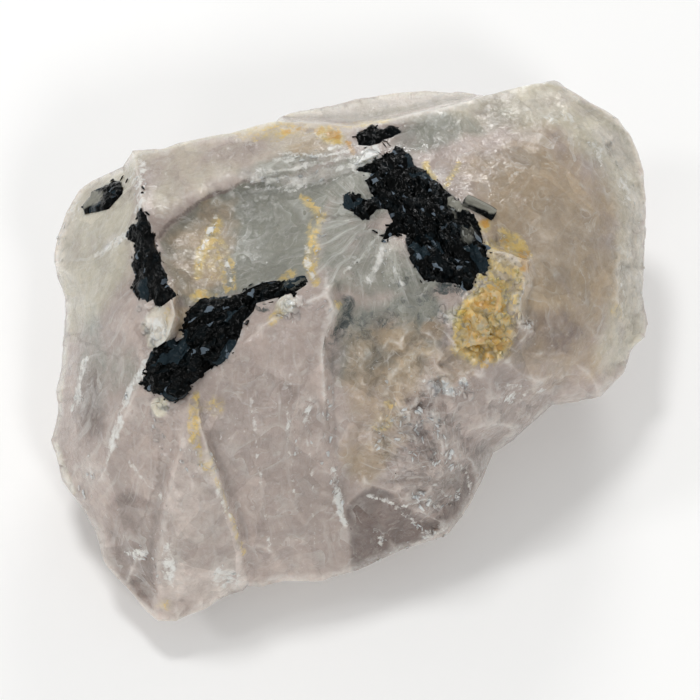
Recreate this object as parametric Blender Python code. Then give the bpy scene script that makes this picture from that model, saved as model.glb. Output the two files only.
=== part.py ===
"""A broken chunk of rose quartz, about 74 mm across, with black tourmaline crystals set in its face.

The chunk lies on its flat broken base, and its face looks up and forward. The face is laid out on a
drawing plane, the way a viewer who looks down on the chunk sees it. Each point of the layout is
(across, up, height): across and up are millimetres on the drawing plane, and height is millimetres
above the table. Break lines are the edges and creases of the stone, and the sheet between them is
triangulated, like ground between surveyed ridges and gullies. A face sheet and a back sheet share
one rim and close the stone. The crystals are drawn the same way and sit in pockets cut for them.
"""

import math

import bmesh
import bpy
from mathutils import Vector, noise
from mathutils.bvhtree import BVHTree
from mathutils.geometry import delaunay_2d_cdt

MM = 0.001

# How the drawing plane stands: it faces a viewer who looks down on the stone at this angle.
VIEW_TILT = math.radians(58)
VIEW_DISTANCE = 420.0
PLANE_HEIGHT = 19.0

# The size of the mesh of each sheet, and how far a broken edge wanders from its drawn line.
FACE_SPACING = 1.55
BACK_SPACING = 2.7
RIM_SPACING = 1.5
EDGE_WANDER = 0.28
RELIEF = 0.16
SMOOTHING_ROUNDS = 2

# The space between a crystal and the wall of its pocket. A crystal's wall runs between two heights
# over the face, its top rounds up over the shoulder's width, and its root tapers over the taper's.
POCKET_GAP = 0.3
POCKET_EXTRA_DEPTH = 0.5
CRYSTAL_RIM = (-0.05, -0.6)
CRYSTAL_SHOULDER = 0.9
CRYSTAL_TAPER = 1.6
CUTTER_TOP = 6.0

# Edges with a turn over these angles are shaded sharp, on the stone and on the crystals.
STONE_SHARP_ANGLE = 24
CRYSTAL_SHARP_ANGLE = 18

RIM = [
    (-37.0, 11.0, 18), (-36.6, 14.0, 20), (-35.5, 17.2, 22), (-33.8, 20.0, 23), (-31.5, 21.5, 25),
    (-28.5, 22.9, 27), (-27.0, 24.8, 30), (-23.1, 25.2, 32), (-21.5, 26.0, 32), (-18.1, 26.5, 33),
    (-15.0, 27.1, 33.5), (-11.9, 28.0, 34), (-9.0, 28.5, 34), (-8.4, 29.1, 27), (-6.3, 29.9, 26),
    (-0.6, 30.9, 25), (2.8, 31.7, 25), (6.2, 32.2, 24.5), (9.4, 32.5, 24), (14.0, 32.1, 24),
    (15.8, 31.8, 25), (16.6, 31.8, 30), (21.2, 32.8, 29), (23.8, 33.4, 28), (25.6, 34.0, 27),
    (28.1, 32.1, 26), (31.9, 30.1, 24), (33.5, 29.0, 23), (34.8, 27.2, 22), (36.4, 24.0, 21),
    (36.9, 20.6, 20), (37.1, 18.8, 19.5), (36.8, 13.1, 18), (36.5, 7.5, 17), (36.6, 5.2, 15),
    (37.1, 3.1, 14), (37.0, 1.5, 13), (34.8, -0.2, 13), (34.4, -2.8, 12.5), (31.5, -5.8, 12),
    (28.1, -6.5, 12), (25.2, -6.8, 12), (23.1, -9.0, 11), (19.8, -11.6, 10), (17.8, -12.8, 10),
    (16.6, -15.8, 9), (15.5, -18.5, 8.5), (13.8, -20.8, 8), (12.0, -23.0, 8), (6.2, -25.0, 8),
    (2.5, -26.8, 7), (0.0, -27.8, 7), (-5.0, -29.0, 7), (-8.1, -28.9, 7), (-12.8, -30.0, 6.5),
    (-15.0, -30.4, 6), (-18.8, -32.6, 6), (-21.8, -33.9, 6), (-23.8, -33.8, 6), (-25.9, -31.9, 6.5),
    (-29.0, -28.5, 7), (-31.1, -25.8, 8), (-31.8, -22.5, 9), (-34.6, -18.4, 10), (-36.1, -16.2, 11),
    (-37.2, -11.2, 12), (-36.5, -7.8, 13), (-36.6, -5.4, 13.5), (-35.8, 0.6, 15), (-35.6, 6.2, 16.5),
]

# Break lines of the face, from the top of the stone to its foot.
FACE_LINES = {
    "top_ridge": [
        (-9.0, 28.5, 34), (-6.0, 28.4, 34.5), (0.0, 27.9, 35), (3.5, 28.6, 35), (7.2, 29.2, 34.5),
        (11.2, 30.1, 33.5), (15.3, 31.2, 31.5), (16.6, 31.8, 30),
    ],
    "back_lump_foot": [
        (-7.8, 29.0, 27.2), (0.0, 28.6, 27), (7.2, 29.9, 26.5), (11.3, 30.8, 26), (15.0, 31.6, 25.4),
    ],
    "hollow_lip": [
        (-25.2, 14.2, 37), (-23.8, 15.2, 36), (-21.2, 17.9, 36), (-19.0, 19.4, 36),
        (-16.9, 20.5, 36), (-13.8, 21.5, 36.2), (-11.0, 22.0, 36.5), (-7.5, 22.8, 36.5),
        (-4.0, 23.4, 36.5), (-0.6, 23.8, 36.3),
    ],
    "hollow_foot": [
        (-24.0, 13.2, 35.6), (-22.9, 13.8, 34.4), (-20.4, 16.4, 34), (-18.2, 17.8, 33.8),
        (-16.2, 18.8, 33.6), (-13.3, 19.8, 33.8), (-10.6, 20.3, 34), (-7.0, 21.1, 34.5),
        (-3.6, 21.9, 35.3),
    ],
    "hollow_right_crest": [
        (-4.6, 20.0, 35), (-3.8, 17.2, 36.2), (-4.8, 13.8, 37), (-5.2, 11.0, 37.6), (-4.8, 8.6, 38.4),
        (-2.8, 7.2, 40),
    ],
    "left_lip": [
        (-26.9, 23.4, 31.8), (-26.2, 21.2, 34), (-25.9, 18.8, 36.2), (-25.2, 14.2, 37),
        (-23.8, 9.4, 37.5), (-22.3, 6.2, 38.2), (-22.0, 4.4, 38), (-22.5, 2.4, 37),
        (-23.4, 0.6, 35.5), (-25.0, -1.5, 33.5), (-26.5, -4.4, 31), (-28.1, -7.8, 28),
        (-29.4, -11.2, 24.5), (-31.2, -16.2, 18.5), (-31.8, -22.5, 9),
    ],
    "left_lip_foot": [(-21.4, 5.4, 36.2), (-21.0, 3.8, 35.6), (-21.6, 1.8, 34.6), (-22.8, 0.0, 33.6)],
    "left_shoulder": [
        (-26.4, 20.4, 34.4), (-27.5, 17.5, 33.6), (-29.6, 13.4, 31.8), (-31.2, 11.9, 29.4),
        (-34.8, 9.6, 23), (-35.6, 6.2, 16.5),
    ],
    "front_top_edge": [
        (-23.0, -5.6, 31.6), (-20.4, -5.4, 31.2), (-16.9, -1.9, 33.4), (-13.8, 0.6, 35.8),
        (-11.0, 3.1, 37.6), (-6.2, 5.6, 39.4), (-2.8, 7.2, 40),
    ],
    "cliff_crest": [
        (-2.8, 7.2, 40), (-2.1, 5.0, 39), (-3.0, 1.9, 37), (-3.5, -0.2, 35.5), (-3.2, -3.8, 32.5),
        (-3.2, -8.8, 28), (-2.8, -13.8, 23), (-1.8, -18.8, 18), (-0.9, -22.5, 14.5), (0.0, -27.8, 7),
    ],
    "cliff_foot": [
        (-1.3, 7.4, 38), (-0.7, 4.8, 36.6), (-1.5, 1.9, 34.8), (-2.2, -0.4, 33.4), (-2.0, -3.8, 31.2),
        (-2.0, -8.8, 27), (-1.7, -13.8, 22.2), (-0.8, -18.8, 17.4), (0.1, -22.5, 14),
    ],
    "wedge_right_edge": [
        (-19.4, -5.5, 31.4), (-18.5, -10.0, 29.4), (-17.2, -14.0, 26.9), (-15.5, -18.8, 22.5),
        (-14.2, -23.8, 17.2), (-13.4, -28.2, 10.6), (-12.8, -30.0, 6.5),
    ],
    "wedge_right_foot": [
        (-18.8, -6.4, 30.9), (-17.7, -10.0, 28.6), (-16.3, -14.0, 25.5), (-14.4, -18.8, 20.9),
        (-13.1, -23.8, 15.6), (-12.4, -28.2, 9),
    ],
    "wedge_left_edge": [
        (-20.2, -5.6, 31.4), (-21.0, -11.2, 28.6), (-22.4, -16.2, 24.6), (-23.4, -21.2, 20.2),
        (-24.0, -26.2, 14.8), (-24.0, -30.6, 9.4), (-23.8, -33.8, 6),
    ],
    "wedge_left_foot": [
        (-21.8, -11.4, 27.4), (-23.3, -16.4, 22.8), (-24.4, -21.4, 18), (-25.0, -26.4, 12.6),
        (-24.9, -30.4, 8),
    ],
    "dark_facet_top": [
        (-0.8, -18.8, 17.4), (2.0, -16.6, 19.4), (5.6, -17.8, 17.8), (8.2, -20.0, 14.2),
        (11.4, -21.6, 10.6),
    ],
    "ice_edge": [
        (3.4, -10.8, 24.2), (5.2, -12.6, 22.4), (8.0, -13.6, 21.4), (11.4, -14.0, 20.4),
    ],
    "ice_outer_edge": [(12.2, -7.6, 26), (13.6, -9.8, 22.6), (15.0, -12.4, 18.2), (15.9, -15.2, 13)],
    "lobe_top": [
        (13.8, -5.6, 27), (16.2, -4.2, 27.4), (18.6, -2.7, 27), (21.4, -2.9, 25.2), (24.0, -4.0, 21.6),
        (25.2, -6.8, 12),
    ],
    "lobe_front": [
        (13.8, -5.6, 27), (15.4, -7.4, 24.8), (17.6, -9.2, 20.8), (20.4, -9.6, 15.6), (23.1, -9.0, 11),
    ],
    "ice_fan": [
        (3.9, -9.6, 25.9), (6.0, -8.0, 27.6), (8.6, -7.3, 28), (10.6, -7.8, 27.4), (11.4, -10.2, 25),
        (11.7, -13.0, 22),
    ],
    "mass_wall": [
        (6.9, 25.2, 34.9), (8.4, 23.4, 35.4), (11.2, 21.2, 35.8), (13.8, 18.9, 35.9),
        (16.0, 16.4, 35.9), (17.0, 14.0, 35.6), (17.6, 12.6, 35.5),
    ],
    "crust_edge": [
        (17.6, 12.6, 35.5), (19.4, 12.0, 35.6), (21.9, 11.0, 34.8), (22.1, 9.0, 34.2),
        (21.2, 6.2, 33.2), (21.0, 3.1, 31.6), (22.4, 2.3, 30.2), (20.6, 0.4, 29.4),
        (19.8, -1.4, 28.4), (17.5, -2.3, 28),
    ],
    "crust_foot": [
        (18.4, 13.0, 33.8), (20.4, 12.4, 33.4), (22.8, 11.4, 32.6), (23.0, 9.0, 32.2),
        (22.2, 6.3, 31.6), (22.2, 3.6, 29.8), (23.4, 2.2, 28.4), (21.6, -0.2, 27.4),
    ],
    "right_band": [
        (27.4, 30.6, 27.6), (30.8, 27.2, 26.4), (32.9, 22.8, 25.2), (33.9, 18.0, 24.4),
        (34.0, 12.5, 23.8), (33.4, 6.4, 22.4), (31.6, 1.2, 20.6), (29.4, -2.6, 18.2),
        (25.8, -4.4, 16.4),
    ],
}

# Single points of the face, which bow a surface between its break lines.
FACE_SPOTS = [
    (-18.0, 23.2, 34.9), (-8.0, 25.8, 35.4), (-12.5, 15.2, 33.4), (-18.8, 13.6, 33.7), (-8.0, 17.4, 33.7),
    (-9.0, 12.6, 34.9), (-16.9, 9.8, 35.3), (-20.4, 9.6, 35.9), (-12.0, 8.6, 36.8), (-8.2, 8.8, 37.6),
    (-30.6, 18.8, 29.2), (-32.6, 15.6, 26.8), (-30.0, 8.2, 31.4), (-33.4, 5.6, 25.6), (-29.4, 2.5, 31.2),
    (-33.6, -1.2, 23.6), (-31.0, -6.2, 25.4), (-34.2, -10.0, 19.8), (-32.0, -13.8, 19.8),
    (-26.4, -12.5, 26), (-27.2, -18.8, 19.2), (-27.8, -25.0, 12.6), (-22.0, -2.8, 32.8),
    (-19.2, -16.0, 25.6), (-19.2, -22.0, 20.6), (-19.0, -28.6, 12.8), (-10.0, -6.2, 32.8),
    (-7.6, -16.2, 23), (-10.0, -23.8, 15.2), (0.0, 25.6, 35.8), (0.0, 16.9, 36.8), (3.1, 13.8, 37.3), (6.2, 10.6, 37), (2.5, 8.8, 37.2),
    (-0.8, 11.2, 38), (9.6, 6.8, 35.6), (5.0, 3.8, 34.6), (1.2, 3.4, 33.6), (10.0, 15.0, 36.2),
    (14.0, 12.0, 35.8), (16.2, 25.0, 33), (22.4, 29.0, 30.2), (21.2, 20.0, 33.2), (28.0, 24.2, 28.9),
    (26.2, 13.8, 31.3), (31.2, 16.2, 27.3), (26.2, 5.0, 29.2), (31.2, 7.5, 25.6), (23.6, -0.4, 26.4),
    (29.2, 0.0, 22.6), (26.4, -3.4, 18.6), (15.0, 6.6, 34.4), (18.4, 6.8, 34.2), (17.0, 2.0, 31.6),
    (13.0, 1.6, 31.8), (3.8, -0.4, 32), (8.8, 1.2, 33), (6.2, -5.0, 28.8), (11.2, -4.4, 28.8),
    (2.5, -8.8, 26), (1.2, -13.4, 22), (19.2, -6.4, 22.6), (8.4, -10.6, 25.4),
    (6.8, -15.8, 19.6), (11.4, -17.6, 15.4), (4.4, -22.3, 12.9), (0.0, 29.8, 26.6), (7.8, 31.0, 25.8),
]

# The flat broken base that the stone rests on, all at the height of the table.
BASE = [
    (-24.0, -24.0), (-10.0, -25.2), (2.0, -22.0), (9.0, -16.0), (19.0, -6.5), (26.0, 0.5),
    (25.0, 6.0), (12.0, 9.5), (-8.0, 10.0), (-20.0, 7.0), (-28.0, -2.0), (-30.0, -12.0),
]

# Edges of the underside and of the back, which the viewer doesn't see.
BACK_LINES = {
    "back_corner_left": [(-27.0, 24.8, 30), (-25.0, 18.6, 18), (-20.0, 7.0, 0)],
    "back_shelf": [
        (-25.0, 18.6, 18), (-14.0, 21.5, 17), (-3.0, 23.6, 13), (8.0, 25.0, 12.5), (19.0, 25.4, 14),
    ],
    "back_corner_right": [(28.1, 32.1, 26), (19.0, 25.4, 14), (12.0, 9.5, 0)],
    "right_keel": [(36.8, 13.1, 18), (33.0, 9.0, 8), (26.0, 0.5, 0)],
    "left_keel": [(-35.8, 0.6, 15), (-33.4, -1.0, 7), (-28.0, -2.0, 0)],
    "front_keel": [(-21.8, -33.9, 6), (-21.0, -29.4, 2.4), (-24.0, -24.0, 0)],
}
BACK_SPOTS = [
    (-31.5, 13.0, 14), (-30.0, 6.0, 7.5), (-16.0, 14.5, 8.5), (-2.0, 17.5, 6), (9.0, 18.0, 5.5),
    (30.0, 19.5, 14.5), (23.0, 14.0, 5), (33.4, 1.0, 7.5), (24.0, -4.0, 4.5), (-34.0, -11.5, 6), (-29.0, -21.0, 3.4),
    (-5.0, -27.3, 2.6), (9.6, -20.6, 3), (16.0, -12.0, 3.4), (-10.0, 25.4, 24), (4.0, 29.0, 20.5),
]

# Places where the break is rough, as (across, up, radius, height of the roughness).
ROUGH_PLACES = [
    (17.5, 4.0, 6.0, 0.75), (14.0, -2.5, 4.5, 0.7), (10.0, -11.0, 6.5, 0.8), (5.0, -2.0, 7.5, 0.45),
    (35.0, 10.0, 9.0, 0.35), (33.0, 26.0, 6.0, 0.3), (2.5, 23.0, 4.0, 0.35), (-9.0, 6.0, 3.5, 0.3),
    (8.0, 0.0, 6.0, 0.4),
]
ROUGH_GRAIN = 3.2

# Outlines of the crystals on the drawing plane, as (across, up).
MASS_OUTLINE = [
    (5.9, 25.0), (6.6, 24.5), (7.5, 23.5), (7.6, 22.6), (8.4, 22.3), (10.1, 21.1), (11.6, 19.9),
    (12.9, 18.8), (14.1, 17.4), (15.6, 15.9), (16.0, 14.1), (16.0, 13.2), (17.0, 12.8), (16.6, 11.4),
    (16.8, 9.8), (15.9, 9.2), (15.2, 8.1), (14.3, 7.8), (13.9, 8.7), (11.9, 8.7), (10.5, 9.3),
    (9.4, 8.9), (8.4, 10.5), (7.9, 11.8), (7.6, 14.5), (6.1, 14.9), (4.3, 14.0), (5.2, 15.1),
    (6.0, 15.7), (5.2, 16.9), (4.9, 17.8), (3.4, 18.1), (2.7, 17.2), (1.6, 16.5), (0.7, 17.4),
    (-0.5, 17.9), (-0.6, 19.1), (0.4, 19.1), (2.0, 18.5), (3.6, 18.8), (2.8, 19.9), (2.3, 21.1),
    (3.4, 22.2), (1.2, 22.5), (3.0, 23.1), (3.6, 23.6), (5.0, 24.1),
]
FRONT_OUTLINE = [
    (-25.6, -4.2), (-25.2, -2.8), (-24.8, -0.9), (-23.9, 0.2), (-23.0, 0.8), (-21.5, 0.8),
    (-20.5, 1.5), (-20.5, 3.3), (-19.6, 4.8), (-18.3, 5.8), (-16.2, 6.1), (-14.0, 6.4), (-12.5, 7.4),
    (-11.0, 8.1), (-9.5, 8.4), (-8.8, 8.3), (-8.9, 7.8), (-7.6, 8.2), (-6.0, 8.9), (-5.8, 8.3),
    (-6.9, 7.5), (-8.7, 6.9), (-10.6, 6.4), (-11.9, 6.1), (-12.3, 5.0), (-13.6, 3.7), (-14.0, 2.2),
    (-14.7, 0.5), (-15.8, -0.8), (-17.5, -2.1), (-19.2, -3.2), (-20.1, -4.0), (-21.1, -5.8),
    (-22.6, -6.2), (-23.1, -5.1), (-24.2, -4.8),
]
BLADE_OUTLINE = [
    (-26.1, 17.1), (-25.7, 16.7), (-25.5, 15.9), (-25.2, 14.6), (-24.7, 13.3), (-24.3, 11.9),
    (-23.9, 10.5), (-23.4, 9.2), (-23.1, 7.9), (-22.2, 6.8), (-22.9, 6.3), (-23.6, 5.7),
    (-24.6, 6.2), (-26.3, 6.8), (-26.9, 8.2), (-26.2, 8.9), (-26.6, 9.8), (-27.0, 10.8),
    (-26.5, 11.4), (-26.7, 12.9), (-26.5, 13.4), (-27.6, 14.3), (-27.1, 15.2), (-26.1, 15.8),
    (-26.3, 16.6),
]
CHIP_OUTLINE = [
    (-32.8, 17.3), (-32.6, 18.4), (-31.8, 19.4), (-30.5, 20.3), (-29.2, 20.7), (-28.6, 20.2),
    (-28.7, 19.6), (-29.7, 18.6), (-30.3, 17.9), (-31.6, 17.5),
]
GRAIN_OUTLINE = [
    (1.2, 27.0), (2.7, 27.7), (4.0, 27.2), (5.2, 27.6), (5.9, 27.3), (5.2, 26.9), (4.1, 26.6),
    (3.6, 26.1), (2.5, 25.8), (1.3, 25.9),
]

# Each crystal: its name, its outline, the way its columns run on the drawing plane, how far it stands
# proud, how far it reaches down, its columns as (length, width, step), and the size of its mesh.
CRYSTALS = [
    ("tourmaline_mass", MASS_OUTLINE, (0.46, -0.89), 0.7, 4.0, (3.4, 1.1, 0.45), 0.95),
    ("tourmaline_front_crystal", FRONT_OUTLINE, (0.82, 0.57), 1.0, 3.6, (3.2, 1.1, 0.5), 0.95),
    ("tourmaline_left_blade", BLADE_OUTLINE, (0.33, -0.94), 0.35, 3.0, (2.4, 0.9, 0.3), 0.9),
    ("tourmaline_left_chip", CHIP_OUTLINE, (0.84, 0.54), 0.25, 2.0, (2.0, 0.9, 0.2), 0.9),
    ("tourmaline_top_grain", GRAIN_OUTLINE, (0.9, 0.4), 0.6, 1.6, (1.6, 0.9, 0.2), 0.75),
]

# The small free prism beside the crystal mass: its ends on the drawing plane and its radius.
PRISM_START = (14.6, 18.5)
PRISM_END = (17.7, 16.9)
PRISM_RADIUS = 0.55
PRISM_LIFT = 0.15


def clear_scene():
    for old in list(bpy.data.objects):
        bpy.data.objects.remove(old)


def seen_at(across, up, height):
    """The place in the world of a point of the layout, in millimetres."""
    toward = Vector((0, -math.cos(VIEW_TILT), math.sin(VIEW_TILT)))
    upward = Vector((0, math.sin(VIEW_TILT), math.cos(VIEW_TILT)))
    middle = Vector((0, 0, PLANE_HEIGHT))
    eye = middle + toward * VIEW_DISTANCE
    drawn = middle + Vector((across, 0, 0)) + upward * up
    along = (height - eye.z) / (drawn.z - eye.z)
    return eye + (drawn - eye) * along


def wobble(across, up, pace, layer):
    """A smooth wandering shift on the drawing plane, between about -1 and 1 each way."""
    return tuple(noise.noise(Vector((across * pace, up * pace, layer + 31.7 * axis))) for axis in (0, 1))


def wandered(across, up):
    """A drawn point moved a little, the same way as its neighbours, as broken edges wander."""
    coarse = wobble(across, up, 0.33, 1.7)
    fine = wobble(across, up, 1.1, 8.3)
    shift = [EDGE_WANDER * (a + 0.45 * b) for a, b in zip(coarse, fine)]
    return across + shift[0], up + shift[1]


def resampled(line, spacing, closed=False):
    """The points of a line with others put between them, no further apart than the spacing."""
    ends = list(zip(line, line[1:] + line[:1])) if closed else list(zip(line, line[1:]))
    found = []
    for start, end in ends:
        pieces = max(1, round(math.dist(start[:2], end[:2]) / spacing))
        for step in range(pieces):
            share = step / pieces
            found.append(tuple(a + (b - a) * share for a, b in zip(start, end)))
    if not closed:
        found.append(tuple(line[-1]))
    return found


class Sheet:
    """A triangulated sheet over the drawing plane: points as (across, up, height), and triangles."""

    def __init__(self, rim, lines, spots):
        self.points = []
        self.edges = []
        self.number = {}
        self.rim_count = len(rim)
        self.add_line(rim, closed=True)
        for line in lines:
            self.add_line(line)
        self.fixed_count = len(self.points)
        for spot in spots:
            self.add_point(spot)
        self.triangulate()

    def add_point(self, point):
        key = (round(point[0], 3), round(point[1], 3))
        if key not in self.number:
            self.number[key] = len(self.points)
            self.points.append(tuple(point))
        return self.number[key]

    def add_line(self, line, closed=False):
        numbers = [self.add_point(point) for point in line]
        following = numbers[1:] + numbers[:1] if closed else numbers[1:]
        self.edges += [pair for pair in zip(numbers, following) if pair[0] != pair[1]]

    def triangulate(self):
        flat = [Vector(point[:2]) for point in self.points]
        outline = [list(range(self.rim_count))]
        found = delaunay_2d_cdt(flat, self.edges, outline, 1, 1e-5)
        places, triangles, origins = found[0], found[2], found[3]
        heights = [self.points[source[0]][2] if source else None for source in origins]
        kept = {source[0]: number for number, source in enumerate(origins) if source}
        for number, height in enumerate(heights):
            if height is None:
                near = min(self.points, key=lambda p: math.dist(p[:2], places[number]))
                heights[number] = near[2]
        self.is_fixed = [bool(source) and source[0] < self.fixed_count for source in origins]
        self.rim = [kept[number] for number in range(self.rim_count)]
        self.flat = places
        self.heights = heights
        self.triangles = [list(triangle) for triangle in triangles]

    def tree(self):
        """A search tree of the sheet, to read heights from."""
        solid = [Vector((place.x, place.y, height)) for place, height in zip(self.flat, self.heights)]
        return BVHTree.FromPolygons(solid, self.triangles)

    def smooth(self, rounds, held):
        """Rounds the sheet between its break lines, and leaves held points where they are."""
        near = [set() for _ in self.flat]
        for triangle in self.triangles:
            for number in triangle:
                near[number].update(triangle)
        for _ in range(rounds):
            self.heights = [
                height if number in held else sum(self.heights[n] for n in near[number]) / len(near[number])
                for number, height in enumerate(self.heights)
            ]


def height_on(tree, across, up):
    """The height of a sheet at a place, or of the nearest place on it."""
    above = Vector((across, up, 200.0))
    hit = tree.ray_cast(above, Vector((0, 0, -1)))[0]
    if hit is None:
        hit = tree.find_nearest(Vector((across, up, 20.0)))[0]
    return hit.z


def roughness(across, up):
    """How high the stone stands over its smooth sheet: fine relief, and lumps where it is rough."""
    relief = noise.fractal(Vector((across * 0.35, up * 0.35, 3.1)), 1.0, 2.1, 3) * RELIEF
    for middle_across, middle_up, radius, amount in ROUGH_PLACES:
        reach = math.dist((across, up), (middle_across, middle_up)) / radius
        if reach >= 1:
            continue
        cell = Vector((across / ROUGH_GRAIN, up / ROUGH_GRAIN, 0.4))
        near, corners = noise.voronoi(cell)
        step = noise.cell(corners[0] * 7.3)
        lump = 0.7 * step + 0.6 * (0.5 - near[0])
        relief += lump * amount * (1 - reach * reach)
    return relief


def grid(rim, spacing, taken):
    """Points in rows across the rim's box, shaken out of line, and clear of the points taken."""
    lows = [min(point[axis] for point in rim) for axis in (0, 1)]
    highs = [max(point[axis] for point in rim) for axis in (0, 1)]
    rows = int((highs[1] - lows[1]) / (spacing * 0.866)) + 1
    columns = int((highs[0] - lows[0]) / spacing) + 2
    clear = spacing * 0.55
    cells = {}
    for point in taken:
        cells.setdefault((int(point[0] // clear), int(point[1] // clear)), []).append(point)
    found = []
    for row in range(rows):
        for column in range(columns):
            across = lows[0] + (column + 0.5 * (row % 2)) * spacing
            up = lows[1] + row * spacing * 0.866
            shake = wobble(across, up, 3.7, 5.0)
            across, up = across + 0.3 * spacing * shake[0], up + 0.3 * spacing * shake[1]
            home = (int(across // clear), int(up // clear))
            around = [(home[0] + i, home[1] + j) for i in (-1, 0, 1) for j in (-1, 0, 1)]
            crowd = [point for cell in around for point in cells.get(cell, [])]
            if all(math.dist((across, up), point[:2]) > clear for point in crowd):
                found.append((across, up))
    return found


def inside(outline, across, up):
    """True where the point is inside the closed outline."""
    crossings = 0
    for (x1, y1), (x2, y2) in zip(outline, outline[1:] + outline[:1]):
        if (y1 > up) != (y2 > up) and across < x1 + (up - y1) * (x2 - x1) / (y2 - y1):
            crossings += 1
    return crossings % 2 == 1


def wandering(line, spacing, closed=False):
    return [(*wandered(p[0], p[1]), p[2]) for p in resampled(line, spacing, closed)]


def face_sheet():
    """The face: the drawn break lines, and between them a fine sheet with its relief."""
    drawn = Sheet(RIM, list(FACE_LINES.values()), FACE_SPOTS)
    tree = drawn.tree()
    rim = wandering(RIM, RIM_SPACING, closed=True)
    lines = [wandering(line, FACE_SPACING) for line in FACE_LINES.values()]
    taken = rim + [point for line in lines for point in line]
    outline = [point[:2] for point in rim]
    spots = [
        (across, up, height_on(tree, across, up))
        for across, up in grid(rim, FACE_SPACING, taken)
        if inside(outline, across, up)
    ]
    sheet = Sheet(rim, lines, spots)
    held = {number for number, fixed in enumerate(sheet.is_fixed) if fixed}
    sheet.smooth(SMOOTHING_ROUNDS, held)
    on_rim = set(sheet.rim)
    sheet.heights = [
        height if number in on_rim else height + roughness(*sheet.flat[number])
        for number, height in enumerate(sheet.heights)
    ]
    return sheet


def back_sheet(rim):
    """The underside and the back, down to the flat base, over the same rim as the face."""
    base = [(across, up, 0.0) for across, up in BASE]
    drawn = Sheet(RIM, [base + base[:1], *BACK_LINES.values()], BACK_SPOTS)
    tree = drawn.tree()
    fine_base = resampled(base, BACK_SPACING, closed=True)
    lines = [wandering(line, BACK_SPACING)[1:-1] for line in BACK_LINES.values()]
    taken = rim + fine_base + [point for line in lines for point in line]
    outline = [point[:2] for point in rim]
    spots = [
        (across, up, height_on(tree, across, up))
        for across, up in grid(rim, BACK_SPACING, taken)
        if inside(outline, across, up) and not inside(BASE, across, up)
    ]
    sheet = Sheet(rim, [fine_base + fine_base[:1], *lines], spots)
    held = {number for number, fixed in enumerate(sheet.is_fixed) if fixed}
    sheet.smooth(SMOOTHING_ROUNDS, held)
    for number, place in enumerate(sheet.flat):
        if number in held:
            continue
        relief = noise.fractal(Vector((place.x * 0.25, place.y * 0.25, 9.4)), 1.0, 2.1, 3)
        sheet.heights[number] = max(0.5, sheet.heights[number] + relief * 3 * RELIEF)
    return sheet


def mesh_object(name, points, faces, collection):
    mesh = bpy.data.meshes.new(name)
    mesh.from_pydata([tuple(point * MM) for point in points], [], faces)
    made = bpy.data.objects.new(name, mesh)
    collection.objects.link(made)
    work = bmesh.new()
    work.from_mesh(mesh)
    bmesh.ops.remove_doubles(work, verts=work.verts, dist=1e-6)
    bmesh.ops.recalc_face_normals(work, faces=work.faces)
    work.to_mesh(mesh)
    work.free()
    return made


def closed_solid(name, top, bottom, collection):
    """One solid between two sheets that share a rim, the bottom one turned over."""
    points = [seen_at(place.x, place.y, height) for place, height in zip(top.flat, top.heights)]
    faces = list(top.triangles)
    number = {}
    for upper, lower in zip(top.rim, bottom.rim):
        number[lower] = upper
    for lower, (place, height) in enumerate(zip(bottom.flat, bottom.heights)):
        if lower not in number:
            number[lower] = len(points)
            points.append(seen_at(place.x, place.y, height))
    faces += [[number[n] for n in reversed(triangle)] for triangle in bottom.triangles]
    return mesh_object(name, points, faces, collection)


def edge_distance(outline, across, up):
    """How far a point is from the nearest side of an outline."""
    place = Vector((across, up))
    nearest = 1e9
    for start, end in zip(outline, outline[1:] + outline[:1]):
        start, end = Vector(start), Vector(end)
        side = end - start
        share = max(0.0, min(1.0, (place - start).dot(side) / max(side.length_squared, 1e-9)))
        nearest = min(nearest, (place - start - side * share).length)
    return nearest


def grown(outline, by):
    """The outline moved outward by a distance, corner by corner."""
    area = sum(x1 * y2 - x2 * y1 for (x1, y1), (x2, y2) in zip(outline, outline[1:] + outline[:1]))
    turn = 1 if area > 0 else -1
    found = []
    for number, corner in enumerate(outline):
        before = Vector(corner) - Vector(outline[number - 1])
        after = Vector(outline[(number + 1) % len(outline)]) - Vector(corner)
        normals = [Vector((side.y, -side.x)).normalized() * turn for side in (before, after)]
        bisector = (normals[0] + normals[1]).normalized()
        reach = by / max(0.6, bisector.dot(normals[0]))
        found.append((corner[0] + bisector.x * reach, corner[1] + bisector.y * reach))
    return found


def column_step(across, up, axis, length, width):
    """A height between -1 and 1 for each broken column of a crystal whose columns run along the axis."""
    along = across * axis[0] + up * axis[1]
    beside = up * axis[0] - across * axis[1]
    cell = Vector((along / length, beside / width, 2.2))
    corners = noise.voronoi(cell)[1]
    return noise.cell(corners[0] * 5.1)


def crystal_sheets(outline, tree, spacing, top_height, bottom_height):
    """Two sheets over an outline, whose heights over the stone's face come from two functions."""
    rim = resampled([(*corner, 0.0) for corner in outline], spacing, closed=True)
    flat_rim = [point[:2] for point in rim]
    spots = [
        (*spot, 0.0)
        for spot in grid(rim, spacing, rim)
        if inside(flat_rim, *spot) and edge_distance(flat_rim, *spot) > 0.3 * spacing
    ]
    sheets = []
    for rule in (top_height, bottom_height):
        sheet = Sheet(rim, [], spots)
        on_rim = set(sheet.rim)
        for number, place in enumerate(sheet.flat):
            depth = 0.0 if number in on_rim else edge_distance(flat_rim, *place)
            sheet.heights[number] = height_on(tree, *place) + rule(place.x, place.y, depth)
        sheets.append(sheet)
    return sheets


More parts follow.
